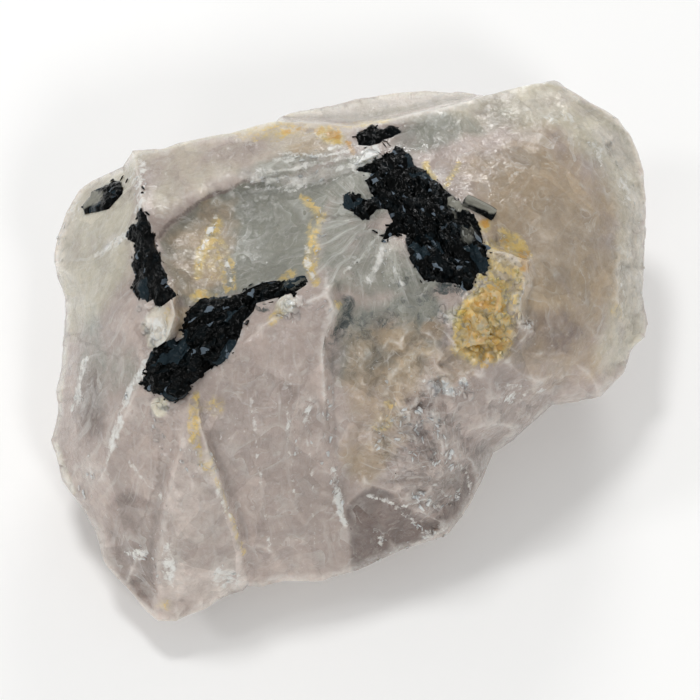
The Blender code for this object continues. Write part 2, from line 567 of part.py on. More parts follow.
def walled_solid(name, top, bottom, collection):
    """One solid between two sheets over the same outline, with a wall from rim to rim."""
    upper = [seen_at(place.x, place.y, height) for place, height in zip(top.flat, top.heights)]
    lower = [seen_at(place.x, place.y, height) for place, height in zip(bottom.flat, bottom.heights)]
    shift = len(upper)
    faces = list(top.triangles)
    faces += [[n + shift for n in reversed(triangle)] for triangle in bottom.triangles]
    for place in range(len(top.rim)):
        after = (place + 1) % len(top.rim)
        lower_side = [bottom.rim[after] + shift, bottom.rim[place] + shift]
        faces.append([top.rim[place], top.rim[after], *lower_side])
    return mesh_object(name, upper + lower, faces, collection)


def crystal(name, outline, tree, collection, axis, proud, buried, columns, spacing):
    """A tourmaline crystal that stands a little proud of the stone and reaches down into it."""
    length, width, step = columns

    def top_height(across, up, depth):
        rise = min(1.0, depth / CRYSTAL_SHOULDER)
        columns_here = step * rise * column_step(across, up, axis, length, width)
        return CRYSTAL_RIM[0] + proud * math.sqrt(rise) + columns_here

    def bottom_height(_across, _up, depth):
        return CRYSTAL_RIM[1] - buried * min(1.0, depth / CRYSTAL_TAPER)

    sheets = crystal_sheets(outline, tree, spacing, top_height, bottom_height)
    return walled_solid(name, *sheets, collection)


def pocket_cutter(name, outline, tree, collection, buried, spacing):
    """The pocket of a crystal: its outline grown by the gap, from over the face to under the crystal."""

    def top_height(_across, _up, _depth):
        return CUTTER_TOP

    def bottom_height(_across, _up, depth):
        return CRYSTAL_RIM[1] - 2 * POCKET_GAP - buried * min(1.0, depth / CRYSTAL_TAPER)

    sheets = crystal_sheets(grown(outline, POCKET_GAP), tree, spacing, top_height, bottom_height)
    made = walled_solid(name, *sheets, collection)
    made.hide_render = True
    made.display_type = "WIRE"
    return made


def prism(name, tree, collection, radius, extra_length):
    """A six-sided prism that lies half in the face."""
    ends = [seen_at(*place, height_on(tree, *place) + PRISM_LIFT) for place in (PRISM_START, PRISM_END)]
    along = ends[1] - ends[0]
    depth = (along.length + extra_length) * MM
    bpy.ops.mesh.primitive_cylinder_add(vertices=6, radius=radius * MM, depth=depth)
    made = bpy.context.object
    made.name = name
    made.location = (ends[0] + ends[1]) / 2 * MM
    made.rotation_mode = "QUATERNION"
    made.rotation_quaternion = along.to_track_quat("Z", "Y")
    for owner in list(made.users_collection):
        owner.objects.unlink(made)
    collection.objects.link(made)
    return made


def material(name, colour, roughness_value):
    made = bpy.data.materials.new(name)
    made.use_nodes = True
    shader = made.node_tree.nodes["Principled BSDF"]
    shader.inputs["Base Color"].default_value = (*colour, 1)
    shader.inputs["Roughness"].default_value = roughness_value
    shader.inputs["Metallic"].default_value = 0.0
    return made


def cut(stone, cutter):
    modifier = stone.modifiers.new(cutter.name, "BOOLEAN")
    modifier.operation = "DIFFERENCE"
    modifier.object = cutter


def finish_shading(made, look, sharp_degrees):
    made.data.materials.clear()
    made.data.materials.append(look)
    made.data.shade_smooth()
    made.data.set_sharp_from_angle(angle=math.radians(sharp_degrees))


def stand_on_origin(stone, others):
    """Moves everything so that the middle of the stone's box is over the origin."""
    corners = [stone.matrix_world @ Vector(corner) for corner in stone.bound_box]
    lows = [min(corner[axis] for corner in corners) for axis in (0, 1)]
    highs = [max(corner[axis] for corner in corners) for axis in (0, 1)]
    middle = [(low + high) / 2 for low, high in zip(lows, highs)]
    for made in [stone, *others]:
        made.location.x -= middle[0]
        made.location.y -= middle[1]
    return middle


def main():
    clear_scene()
    parts = bpy.data.collections.new("rose_quartz_with_tourmaline")
    cutters = bpy.data.collections.new("pocket_cutters")
    bpy.context.scene.collection.children.link(parts)
    bpy.context.scene.collection.children.link(cutters)

    face = face_sheet()
    tree = face.tree()
    rim = [(*face.flat[number], face.heights[number]) for number in face.rim]
    stone = closed_solid("quartz_block", face, back_sheet(rim), parts)
    finish_shading(stone, material("rose_quartz", (0.42, 0.35, 0.30), 0.35), STONE_SHARP_ANGLE)

    schorl = material("black_tourmaline", (0.008, 0.011, 0.013), 0.3)
    made_crystals, made_cutters = [], []
    for name, outline, axis, proud, buried, columns, spacing in CRYSTALS:
        made = crystal(name, outline, tree, parts, axis, proud, buried, columns, spacing)
        finish_shading(made, schorl, CRYSTAL_SHARP_ANGLE)
        made_crystals.append(made)
        deep = buried + POCKET_EXTRA_DEPTH
        made_cutters.append(pocket_cutter(name + "_pocket", outline, tree, cutters, deep, spacing))

    small = prism("tourmaline_small_prism", tree, parts, PRISM_RADIUS, 0.0)
    finish_shading(small, schorl, CRYSTAL_SHARP_ANGLE)
    made_crystals.append(small)
    slot_radius = PRISM_RADIUS + POCKET_GAP
    slot = prism("tourmaline_small_prism_pocket", tree, cutters, slot_radius, 2 * POCKET_GAP)
    slot.hide_render = True
    slot.display_type = "WIRE"
    made_cutters.append(slot)

    for cutter in made_cutters:
        cut(stone, cutter)
    bpy.context.view_layer.update()
    middle = stand_on_origin(stone, made_crystals + made_cutters)
    print("the drawing's middle is at", [-round(value / MM, 4) for value in middle])


main()
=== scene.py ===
"""A chunk of rose quartz with black tourmaline, lying on a pale floor under soft studio light.

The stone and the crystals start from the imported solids, which already have the right shape and
place. Here they are refined and given their broken surfaces, their clouds and stains, and the small
needles and chips. Where something sits on the face is drawn on a plane that faces the camera, in
millimetres across and up from the picture's middle, and then it is carried onto the stone.
"""

import math
import random

import bmesh
import bpy
import numpy as np
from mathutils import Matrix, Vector
from mathutils.bvhtree import BVHTree


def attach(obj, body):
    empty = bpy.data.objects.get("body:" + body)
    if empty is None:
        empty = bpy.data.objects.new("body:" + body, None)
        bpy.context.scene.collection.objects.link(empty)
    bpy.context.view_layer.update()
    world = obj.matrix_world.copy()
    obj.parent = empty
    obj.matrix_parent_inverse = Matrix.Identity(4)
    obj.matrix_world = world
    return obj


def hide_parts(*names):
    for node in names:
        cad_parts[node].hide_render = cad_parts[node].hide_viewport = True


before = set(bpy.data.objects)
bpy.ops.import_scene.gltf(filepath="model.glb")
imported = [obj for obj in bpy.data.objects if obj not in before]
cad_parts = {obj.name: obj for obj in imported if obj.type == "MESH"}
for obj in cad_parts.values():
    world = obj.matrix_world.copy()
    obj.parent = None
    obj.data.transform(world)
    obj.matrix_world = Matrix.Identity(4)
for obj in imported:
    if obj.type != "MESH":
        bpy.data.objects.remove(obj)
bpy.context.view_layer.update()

MM = 0.001
RIGHTWARD = Vector((1, 0, 0))

# The camera looks down on the stone at this angle. The drawing plane faces it, through this middle.
VIEW_TILT = math.radians(58)
VIEW_DISTANCE = 420 * MM
PICTURE_WIDTH = 87.5 * MM
DRAWING_MIDDLE = Vector((-0.1596, -2.5537, 19.0)) * MM
TOWARD = Vector((0, -math.cos(VIEW_TILT), math.sin(VIEW_TILT)))
UPWARD = Vector((0, math.sin(VIEW_TILT), math.cos(VIEW_TILT)))
EYE = DRAWING_MIDDLE + TOWARD * VIEW_DISTANCE
# A ridge that stands this far over the ground around it is a full ridge.
RIDGE_HEIGHT = 0.22 * MM
# A crystal's side stands out this far, in millimetres, so that it fills its pocket.
POCKET_COVER = 0.42
LAMP_AIM = Vector((0, 0, 20)) * MM


def way_of(across, up):
    """A stretch of the drawing plane, as a way in space."""
    return RIGHTWARD * across + UPWARD * up


def linear(colour):
    """A colour written as sRGB hex, turned to linear red, green, blue and alpha."""
    parts = [int(colour[place:place + 2], 16) / 255 for place in (1, 3, 5)]
    return (*[part / 12.92 if part <= 0.04045 else ((part + 0.055) / 1.055) ** 2.4 for part in parts], 1)


def add_node(tree, kind, inputs=None, out=0, **settings):
    """Adds a shader node with its settings and links, and returns one of its outputs. Each input has
    its name or its number, and a value or a socket that goes there."""
    node = tree.nodes.new("ShaderNode" + kind)
    for name, value in settings.items():
        setattr(node, name, value)
    for name, value in (inputs or {}).items():
        if isinstance(value, bpy.types.NodeSocket):
            tree.links.new(value, node.inputs[name])
        else:
            node.inputs[name].default_value = value
    return node.outputs[out]


def between(low, high, values):
    """0 below low, 1 above high, and a smooth rise between them."""
    share = np.clip((values - low) / (high - low), 0, 1)
    return share * share * (3 - 2 * share)


def dice(cells, seed):
    """A number from 0 to 1 for each whole-numbered cell, the same each run."""
    whole = cells.astype(np.int64).astype(np.uint64)
    mixed = whole[:, 0] * np.uint64(73856093) + whole[:, 1] * np.uint64(19349663)
    mixed = mixed + whole[:, 2] * np.uint64(83492791) + np.uint64(seed * 2654435761)
    for shift in (15, 13, 16):
        mixed = (mixed ^ (mixed >> np.uint64(shift))) * np.uint64(2246822519)
        mixed = mixed & np.uint64(0xFFFFFFFF)
    return mixed.astype(np.float64) / 0xFFFFFFFF


def smooth_noise(points, size, seed):
    """Noise between -1 and 1 whose lumps are about as wide as the size."""
    scaled = points / size
    low = np.floor(scaled)
    share = scaled - low
    share = share * share * (3 - 2 * share)
    total = np.zeros(len(points))
    for corner in np.ndindex(2, 2, 2):
        weight = np.prod(np.where(corner, share, 1 - share), axis=1)
        total += weight * dice(low + corner, seed)
    return total * 2 - 1


def clouds(points, size, octaves, seed):
    """Several sizes of noise on top of each other, from the given size down."""
    total = np.zeros(len(points))
    for step in range(octaves):
        total += smooth_noise(points, size / 2**step, seed + step) / 2**step
    return total / (2 - 2 ** (1 - octaves))


def shards(points, size, seed):
    """Which shard each point is in: the shard's number from 0 to 1, and the way from its middle to the
    point."""
    scaled = points / size
    home = np.floor(scaled)
    nearest = np.full(len(points), np.inf)
    number = np.zeros(len(points))
    away = np.zeros((len(points), 3))
    for offset in np.ndindex(3, 3, 3):
        cell = home + np.array(offset) - 1
        middle = cell + np.stack([dice(cell, seed + 7 * axis) for axis in range(3)], axis=1)
        gap = scaled - middle
        distance = np.linalg.norm(gap, axis=1)
        closer = distance < nearest
        nearest = np.where(closer, distance, nearest)
        number = np.where(closer, dice(cell, seed + 99), number)
        away[closer] = gap[closer]
    return number, away * size


class Drawing:
    """Points of a mesh as the camera sees them, in millimetres on the drawing plane."""

    def __init__(self, points, normals):
        self.points = points
        seen = points - np.array(EYE)
        stretch = VIEW_DISTANCE / -(seen @ np.array(TOWARD))
        on_plane = np.array(EYE) + seen * stretch[:, None] - np.array(DRAWING_MIDDLE)
        self.across = on_plane[:, 0] / MM
        self.up = on_plane @ np.array(UPWARD) / MM
        sight = -seen / np.linalg.norm(seen, axis=1)[:, None]
        self.facing = np.sum(sight * normals, axis=1)
        self.front = between(-0.05, 0.12, self.facing)

    def frayed(self, amount, size, seed):
        """The same places, pushed about a little, so that what is drawn has a natural edge."""
        sideways, upwards = (clouds(self.points, size * MM, 3, seed + more) * amount for more in (0, 20))
        return self.across + sideways, self.up + upwards


def in_blob(across, up, blob):
    """A soft oval: (middle across, middle up, half length, half width, turn, strength)."""
    middle_across, middle_up, length, width, turn, strength = blob
    turned = math.radians(turn)
    right, high = across - middle_across, up - middle_up
    along = right * math.cos(turned) + high * math.sin(turned)
    beside = high * math.cos(turned) - right * math.sin(turned)
    reach = np.sqrt((along / length) ** 2 + (beside / width) ** 2)
    return strength * (1 - between(0.35, 1.0, reach))


def to_line(across, up, start, end):
    """The distance of each place from a stretch of line."""
    run, rise = end[0] - start[0], end[1] - start[1]
    share = ((across - start[0]) * run + (up - start[1]) * rise) / max(run * run + rise * rise, 1e-9)
    share = np.clip(share, 0, 1)
    return np.hypot(across - start[0] - share * run, up - start[1] - share * rise)


def in_stroke(across, up, stroke):
    """A soft line: (half width, strength, its points)."""
    width, strength, places = stroke
    distance = np.min([to_line(across, up, a, b) for a, b in zip(places, places[1:])], axis=0)
    return strength * (1 - between(0.25 * width, width, distance))


def in_area(across, up, area):
    """A closed outline: (how soft its edge is, strength, its corners)."""
    soft, strength, corners = area
    following = corners[1:] + corners[:1]
    distance = np.min([to_line(across, up, a, b) for a, b in zip(corners, following)], axis=0)
    inside = np.zeros(len(across), dtype=bool)
    for (x1, y1), (x2, y2) in zip(corners, following):
        crosses = (y1 > up) != (y2 > up)
        slope = (x2 - x1) / (y2 - y1) if y2 != y1 else 0.0
        inside ^= crosses & (across < x1 + (up - y1) * slope)
    signed = np.where(inside, distance, -distance)
    return strength * between(-soft, soft, signed)


def painted(drawing, marks, fray=(0.45, 2.2, 3)):
    """How strongly the marks cover each point: the strongest of them, on the side that is seen. Their
    edges are frayed by an amount and at a size, both in millimetres, with a seed."""
    across, up = drawing.frayed(*fray)
    total = np.zeros(len(across))
    shapes = {"areas": in_area, "blobs": in_blob, "strokes": in_stroke}
    for kind, rows in marks.items():
        for row in rows:
            total = np.maximum(total, shapes[kind](across, up, row))
    return total * drawing.front


# What the stone's face is made of, and where light and shade are painted onto it. Each ingredient is drawn
# as areas, blobs and strokes.
HOLLOW = [
    (-24, 13.4), (-22.4, 15.4), (-20, 18), (-16.8, 19.8), (-13.5, 21), (-9, 21.8), (-4, 22.6), (-2, 20),
    (-3.4, 16.5), (-4.6, 12), (-5.2, 9.2), (-10, 7.8), (-15.5, 6.8), (-20.6, 5.4), (-21.6, 7),
]
TOP_FACET = [
    (-26.6, 24.6), (-21, 26), (-9, 28.6), (0, 28), (1, 24.6), (-4, 23.2), (-11, 22.2), (-16.6, 20.6),
    (-20.6, 18.2), (-23.6, 15), (-25, 17.4),
]
WEDGE = [
    (-19.8, -5.4), (-18.4, -10), (-17, -14), (-15.2, -18.8), (-13.9, -24), (-12.9, -30), (-23.8, -34.2),
    (-24.2, -28), (-23.4, -21.4), (-22.2, -15.6), (-21, -10),
]
DARK_FACET = [
    (-0.6, -19.6), (2.6, -16.6), (5.8, -18), (9, -20.6), (11.4, -22.6), (6.2, -25.4), (0.2, -28.2),
]
CRUST = [
    (17.4, 12.4), (19.4, 11.8), (21.8, 10.8), (22, 8.8), (21.2, 6.2), (21, 3.2), (20.2, 0.2),
    (18.6, -1.6), (15.2, -1.8), (12.4, 0), (12.8, 3.2), (14.6, 6.2), (15.6, 9.2),
]

SMOKE = {
    "areas": [
        (1, 0.95, HOLLOW),
        (2, 0.75, [(-4.4, 23), (2, 25.6), (6, 20), (3, 16), (9, 10.4), (9.4, 7.6), (2, 6), (-3, 7.6),
            (-5, 12), (-3, 18)]),
        (3, 0.9, [(-1.6, 6), (10, 6.6), (12, 1), (8, -4), (-1.6, -4)]),
    ],
    "blobs": [
        (10, 27, 8, 3.6, 18, 0.75), (16.5, 28.5, 6, 3, 20, 0.5), (-32, -2, 3.4, 12, 0, 0.55),
        (-29.5, -2, 5, 7, 10, 0.45), (-8, 23, 9, 2.4, 10, 0.7), (8, 5, 5.4, 4, 0, 0.95),
        (7, 8.8, 6.6, 2.6, 0, 0.95),
    ],
}
TAN = {
    "areas": [
        (5.5, 0.85, [(14, 24), (24, 27), (33, 20), (34, 8), (30, -2), (22, -4), (20, 6), (15.5, 12)]),
        (2.5, 0.75, [(-24, 14), (-19, 18.6), (-14, 19), (-16, 8), (-22, 5)]),
        (2, 0.65, [(-1, 3), (8, 4), (12, 0), (9, -6), (6, -14), (0, -17), (-1, -6)]),
    ],
    "blobs": [
        (3, -10, 7, 5, 30, 0.6), (2, -13, 5, 6, 0, 0.6), (10.4, 2.6, 2.6, 2.4, 0, 0.8),
        (-14, 24.6, 9, 2.6, 12, 0.25), (-5, 25.6, 5, 2.4, 10, 0.5), (12, -2, 6, 4, 0, 0.6),
        (-21, 3.6, 2, 3, 0, 0.8), (-15.5, 3, 2.4, 2, 0, 0.4), (24.5, 1.6, 9, 5.5, 10, 0.9),
    ],
}
# Cream-white lumps, and a painted glow along the thin rims at the left, top and right of the outline and
# over the far part beyond the top ridge, where light shines through the stone.
CREAM_AND_RIM_GLOW = {
    "areas": [
        (2, 0.8, [(-37, 18), (-33, 24), (-26.5, 26), (-26, 17), (-27.5, 9), (-31, 4), (-34, 1),
            (-38, 4)]),
        (2.4, 0.75, [(6, 30), (16, 33), (26, 36), (38, 27), (38, 14), (33.5, 14), (31, 22), (26, 27.6),
            (18, 27), (9, 26)]),
        (2, 0.75, [(33, 16), (38, 16), (38, 1), (32, -4), (30.5, 0), (32, 8)]),
        (1, 0.9, [(-8.6, 28.8), (-6.3, 30.4), (3, 32.4), (16, 32.8), (15.4, 31.2), (3, 28.4)]),
        (1.5, 0.15, WEDGE),
        (2, 0.5, TOP_FACET),
        (1, 0.6, [(17.4, 12.4), (21.8, 11), (22.4, 4), (20.6, 1), (20.2, 8), (17.4, 9.4)]),
    ],
    "blobs": [
        (-24, 2.8, 2.6, 4, -10, 0.9), (13.2, 4.2, 2.2, 1.8, 0, 0.8), (-8, 5.4, 2.4, 1.4, 20, 0.8),
        (-23.8, -7.2, 1.3, 1.6, 0, 0.9),
    ],
    "strokes": [
        (1.3, 0.9, [(-37, 8), (-36.6, 14), (-34, 20), (-28.5, 23), (-27, 25), (-21, 26.2), (-9, 28.7)]),
        (0.9, 0.7, [(-35.8, 6), (-35.9, 0), (-36.6, -7), (-37.2, -11), (-34.6, -18)]),
    ],
}
# Where the clear stone looks deep and dark. Part of it is painted shade: on the lower faces at the bottom
# left and at the lower right, which turn away from the light, and in a thin line in the crease under the
# hollow's lip.
DEPTH_AND_SHADE = {
    "areas": [
        (0.7, 0.95, DARK_FACET),
        (0.6, 0.5, [(-32, -20.6), (-28, -17), (-23.6, -19.6), (-24.2, -26), (-24.4, -33), (-28, -31)]),
        (1.2, 0.35, [(-15.4, -14.6), (-12.4, -14), (-9.8, -22), (-9, -31), (-12.8, -30.4), (-13.8, -24)]),
        (1.4, 0.6, [(12.5, -9), (18.4, -12.4), (16.4, -18.8), (12.6, -23.8), (5, -26.4), (9, -22),
            (13, -17)]),
        (1.2, 0.6, [(6.4, -5), (9.4, -4.6), (12.4, -7.4), (12, -13), (10.6, -10), (9, -7.4)]),
    ],
    "blobs": [
        (-28, -22, 4, 8, 20, 0.4), (-26, -28, 4, 3, 40, 0.6), (13, -18, 4, 5, -30, 0.5),
        (-13, -5, 4, 3, 20, 0.3), (-8, -12, 3, 8, 10, 0.15), (-2, -24, 2.5, 5, 0, 0.25),
        (24.5, 2.5, 4.5, 3, 0, 0.35), (8, -21.5, 5, 3, -30, 0.5), (-21, 12, 3, 4, 40, 0.45),
        (3.6, 3.8, 4.6, 2.4, 10, 0.4), (8, -6.6, 1.6, 1.6, 0, 0.7), (10.4, 2.6, 3, 2.6, 0, 0.5),
        (16.6, 11.4, 1.4, 1, 0, 0.5), (-32.4, -7, 3.4, 9, 0, 0.6), (-9, -6, 6, 3.4, 20, 0.4),
        (9, -12.4, 4.4, 4, 0, 0.45), (24.5, 1.6, 9, 5.5, 10, 0.62),
    ],
    "strokes": [(0.6, 0.85, [(-24.2, 13.8), (-21, 17), (-18.6, 18.6), (-16.4, 19.6), (-12.6, 21.2)])],
}
# A smooth paleness, where many cracks too fine to see lie under the surface. Its strokes and blobs along
# the outline and its area over the far part beyond the top ridge are a painted glow, where light shines
# through the thin stone.
HAZE_AND_RIM_GLOW = {
    "areas": [
        (0.5, 0.4, [(-17.6, -12.6), (-15.2, -18.8), (-13.9, -24), (-12.9, -30), (-23.8, -34.2),
            (-24.2, -28), (-23.4, -21.4), (-22.2, -15.6), (-20.6, -11)]),
        (0.35, 0.22, [(19.6, -4.2), (24.6, -5), (23.2, -8.8), (20.1, -11.2), (17.8, -12.2),
            (17.6, -6.2)]),
        (0.8, 0.95, [(-7.9, 28.9), (-6.3, 29.9), (2.8, 31.9), (14, 32.4), (15.4, 31.6), (7, 30),
            (0, 28.9)]),
        (2, 0.25, [(-1, 15), (4, 16), (9, 10), (7, 6), (0, 6.6), (-3, 9)]),
    ],
    "blobs": [
        (4.2, 12.4, 3.6, 1.6, 35, 0.45), (1.6, 8.6, 3, 1.4, 20, 0.4), (-35.5, 14, 1.8, 9, -8, 0.5),
        (-32, 22.5, 5, 1.4, 28, 0.5), (35.6, 12, 1.8, 15, 0, 0.55), (33.4, 25, 6, 2.2, -50, 0.55),
        (25, 31, 8, 2.2, 12, 0.5), (-32.6, -15.4, 3, 3, 0, 0.6), (-24, 3, 2.6, 3.6, -10, 0.6),
        (-17, -27, 5, 3.6, -10, 0.55), (-21.6, -27, 1.8, 7, 10, 0.6), (9.6, -8.6, 2.4, 1.6, 0, 0.3),
        (-5, 21.8, 7, 1.4, 8, 0.6), (33, -1, 2, 4, -40, 0.4), (-3.6, -8, 1.6, 6, 0, 0.2),
        (-29.6, 13.6, 2.4, 1.2, 36, 0.6), (-3.2, 0, 1.2, 6, 0, 0.3), (22.4, 26.6, 3, 0.8, 0, 0.4),
        (10.4, -4.6, 4, 1.6, -14, 0.5), (20, 27, 6, 1.2, 10, 0.4), (25, 14, 8, 7, 20, 0.42),
    ],
    "strokes": [
        (1.2, 0.9, [(-37, 9), (-36.8, 14), (-34, 20.4), (-28.5, 23.2), (-27, 25.2), (-21, 26.4),
            (-9, 28.9)]),
        (0.9, 0.8, [(-35.6, 6), (-35.9, 0), (-36.8, -7), (-37.4, -11), (-34.8, -18)]),
        (0.9, 0.8, [(-6.4, 28.7), (2, 29), (9, 29.7), (15, 31.3)]),
        (0.9, 0.7, [(16.6, 32), (21, 33), (25.6, 34.4), (31.9, 30.4), (35, 27.4), (37, 21), (37, 13),
            (36.7, 7), (37.2, 3)]),
    ],
}
MILK = {
    "blobs": [
        (-24, 2.6, 1.5, 2.6, -10, 0.8), (-32.6, -15.4, 1.6, 1.6, 0, 0.5),
        (-22.8, -26.6, 1.2, 4.4, 5, 0.85), (-26.6, -25.4, 2.4, 0.9, 0, 0.85),
        (-15.6, -28.4, 3, 1.8, -10, 0.8), (9, -7.6, 1.6, 1, 0, 0.6), (11.4, -4.8, 3.4, 1.2, -14, 0.75),
        (14.6, -4.2, 1.4, 1, 0, 0.7), (-7, 20.6, 3.4, 0.9, 8, 0.5), (22, 3.4, 1.2, 1, 0, 0.6),
        (-8, 5.6, 2, 1.1, 20, 0.6), (-23.8, -7.2, 1.2, 1.5, 0, 0.5), (-27, 22, 1.2, 3, 10, 0.45),
        (4, 12, 2.4, 1.2, 35, 0.5), (2, 8.6, 2.4, 1.2, 20, 0.5), (31.6, 24.6, 1.2, 1.6, 0, 0.6),
        (26, 29, 4, 1.4, 0, 0.4), (34.6, 20, 1.4, 4, 0, 0.45), (34, 8, 1.2, 6, 0, 0.4),
        (-34.6, 18, 1.4, 3, 0, 0.45), (20, -6, 3, 1.2, 10, 0.4),
    ],
    "strokes": [
        (0.8, 0.95, [(-25.6, -1.6), (-27.4, -5), (-28.6, -7.6), (-29.6, -12.2)]),
        (0.7, 0.85, [(-33.1, -1.2), (-33.8, -4.4), (-34.6, -7.4)]),
        (0.8, 0.7, [(-27.6, 14.6), (-29.6, 13), (-31.6, 11.8)]),
        (0.7, 0.8, [(-25.9, 24), (-26.1, 20.4), (-26.2, 17)]),
        (0.7, 0.8, [(-2.3, -15), (-1.7, -18), (-0.7, -21.6)]),
        (1, 0.85, [(-1.8, -18.4), (-1.2, -20)]),
        (0.4, 0.5, [(-2.6, 5.8), (-3.1, 1), (-3.4, -3), (-3, -8)]),
        (0.5, 0.85, [(-5.2, -7.2), (-5.8, -9.2)]),
        (0.6, 0.75, [(-12.5, 21.3), (-6, 21.6), (0, 23.2)]),
        (0.45, 0.8, [(-11.4, 22.5), (-7, 22.8), (-3, 23.3), (-0.4, 24.2)]),
        (0.4, 0.8, [(-9, 24.5), (-5, 24.3), (-2, 24.2), (0.4, 25)]),
        (0.35, 0.7, [(-6.5, 20.5), (-2.6, 20.8), (-1, 21.4)]),
        (0.35, 0.6, [(-13.5, 20.2), (-9.6, 20.4)]),
        (0.5, 0.75, [(-16.8, 16.6), (-17.9, 13.8), (-18.9, 11)]),
        (0.35, 0.7, [(-15.8, 12.2), (-15, 10.4), (-14.8, 8)]),
        (0.4, 0.8, [(-5.4, 11), (-4.7, 8.9)]),
        (0.35, 0.6, [(-28.4, -9), (-30.2, -13.6), (-31.2, -17.6)]),
        (0.4, 0.6, [(-27.6, -13.8), (-25, -17), (-23.4, -18.4)]),
        (0.35, 0.55, [(-24.8, 8.6), (-23.6, 4.6)]),
        (0.35, 0.5, [(-12.4, -6), (-11.6, -13), (-10.8, -20), (-10, -26)]),
        (0.3, 0.5, [(-7.4, -3), (-7.8, -12), (-7, -18)]),
        (0.3, 0.5, [(-5.4, -4), (-5, -14), (-4.2, -24)]),
        (0.35, 0.55, [(12.4, -12), (14.6, -15.6), (15, -18)]),
        (0.3, 0.7, [(6, -19.6), (9.4, -22.8), (11.6, -22)]),
        (0.3, 0.6, [(2.2, -18), (6.4, -19.6), (10, -18.4)]),
        (0.5, 0.7, [(-9.8, 23.8), (-7, 23.8)]),
        (0.45, 0.9, [(-2.4, 25), (-1, 25.3)]),
        (1.6, 1, [(1, 23.2), (2.9, 25.2)]),
        (0.8, 0.8, [(4.2, 13), (3.2, 10.4), (2.2, 8.4)]),
        (0.5, 0.7, [(3.4, 14.4), (1.2, 11.6), (-0.8, 9.8)]),
        (0.5, 0.6, [(4.6, 13.6), (5.2, 10.4), (6.6, 8.2)]),
        (0.5, 0.8, [(-5.4, 12.8), (-4.9, 10.6)]),
        (0.4, 0.6, [(10.2, -16.6), (13.4, -19.2)]),
        (0.4, 0.6, [(9.6, -18.8), (11.6, -19.6)]),
        (0.55, 0.8, [(4.4, -22.6), (3.4, -24.6)]),
        (0.5, 0.35, [(10.6, -8), (11.6, -10.6), (12, -13.4)]),
        (0.5, 0.4, [(4.6, -9.4), (7.2, -7.6), (9.4, -7.2)]),
        (0.5, 0.7, [(9, -23.6), (12.4, -22.6)]),
        (0.45, 0.6, [(30.6, 26), (31.2, 24)]),
        (0.6, 0.8, [(31.8, 25.2), (31, 23.4)]),
        (0.5, 0.6, [(19.8, -4.4), (22.4, -4.8), (24.4, -5.2)]),
        (0.45, 0.7, [(-16.6, -17.4), (-15, -20.6)]),
    ],
}
STAIN = {
    "areas": [
        (0.9, 0.95, [(13, 4.4), (15.4, 7.6), (17.4, 9), (19.8, 7.4), (20.2, 2), (19.6, -0.6), (18, -1.6),
            (15.2, -1.8), (12.4, 0)]),
        (0.6, 0.6, CRUST),
    ],
    "blobs": [
        (16.6, 3.4, 2.6, 3.8, 0, 1), (18.2, 7.6, 2.6, 2.8, 0, 0.85), (17, 15.6, 1.5, 1.2, 0, 0.9),
        (20.6, 13, 3.6, 1.8, -45, 0.9), (17.8, 13, 2, 1.4, -20, 0.6), (-9, 27.4, 8, 1.6, 8, 0.6),
        (-2.4, 26.8, 3.4, 1.6, -30, 0.95), (-18.4, 6.8, 2.4, 1.2, 5, 0.8), (-17, 12, 2.2, 5, 5, 0.45),
        (-4.6, 13, 1.4, 6, 0, 0.4), (-8, 8.8, 2.6, 1, 30, 0.7), (-17, -7, 2.2, 2.6, 0, 0.35),
        (-19.4, -9, 1.5, 5, 0, 0.45), (-17.8, -14, 1.4, 3, 15, 0.35), (4, -9, 2, 2, 30, 0.4),
        (5, -6.9, 1.4, 0.9, 0, 0.5), (-23.5, -7.2, 1.3, 1.6, 0, 0.4), (-23.2, -31.8, 1.6, 1.2, 0, 0.45),
        (33.2, 5, 1.2, 1.6, 0, 0.4), (-23.2, 3.8, 1.4, 3.2, -8, 0.3), (-9.4, 4, 1.8, 1, 40, 0.7),
        (-1.6, 5.6, 0.9, 1.1, 0, 0.5), (-5, 30.6, 6, 1, 8, 0.25), (1.6, 28.4, 7.5, 0.5, 8, 0.55),
        (4.6, 21.6, 1, 1.1, 0, 0.5), (-4.6, 17.6, 2, 1, -40, 0.5), (-4.8, 9.6, 1, 2, 0, 0.5),
    ],
    "strokes": [
        (1.2, 0.85, [(-16.6, 16), (-17.4, 14.2), (-18.6, 11.6), (-18.9, 9.6)]),
        (0.6, 0.6, [(-16.8, 14.4), (-15.4, 12.8), (-14.6, 10.6), (-14.6, 7.8)]),
        (0.6, 0.55, [(-16.2, 12.4), (-15.6, 7.4)]),
        (0.9, 0.75, [(-5.8, 18.8), (-3.4, 16.6), (-4.4, 13.8), (-5.2, 11.2), (-4.4, 8.6)]),
        (0.7, 0.9, [(9.6, 23.2), (10.6, 21.4)]),
        (0.6, 0.8, [(13.7, 23.2), (12.4, 21.2), (11.8, 20.4)]),
        (0.6, 0.4, [(-16.8, -16.2), (-15, -20.4), (-13.4, -25.4)]),
        (0.6, 0.6, [(-19.4, -5.4), (-19.2, -9), (-18.8, -14)]),
    ],
}
RUST = {
    "blobs": [
        (-2, 26.9, 1.7, 0.9, -25, 1), (0, 25.4, 1.4, 0.7, -55, 0.9), (16.4, 3, 1.3, 1.6, 0, 0.6),
        (15.8, 0.4, 1.2, 1.4, 0, 0.6), (21.6, 11.9, 1.3, 1.1, 0, 0.8), (19.4, 13.6, 1.6, 0.7, -40, 0.5),
        (-17.8, 6.9, 1.1, 0.7, 0, 0.5), (-6, 27.4, 4.4, 0.5, 8, 0.6), (17.8, 7, 2.2, 2.6, 0, 0.5),
        (17, 2.6, 3, 4.6, 0, 0.35), (16.9, 15.9, 1.3, 1.1, 0, 0.9), (21.8, 10.6, 1.2, 1.6, 20, 0.7),
    ],
    "areas": [
        (1, 0.6, [(14.2, 4.6), (16.4, 8.4), (19, 8.6), (19.8, 4.4), (20, 0.4), (17.2, -2), (13.2, 0)]),
    ],
}
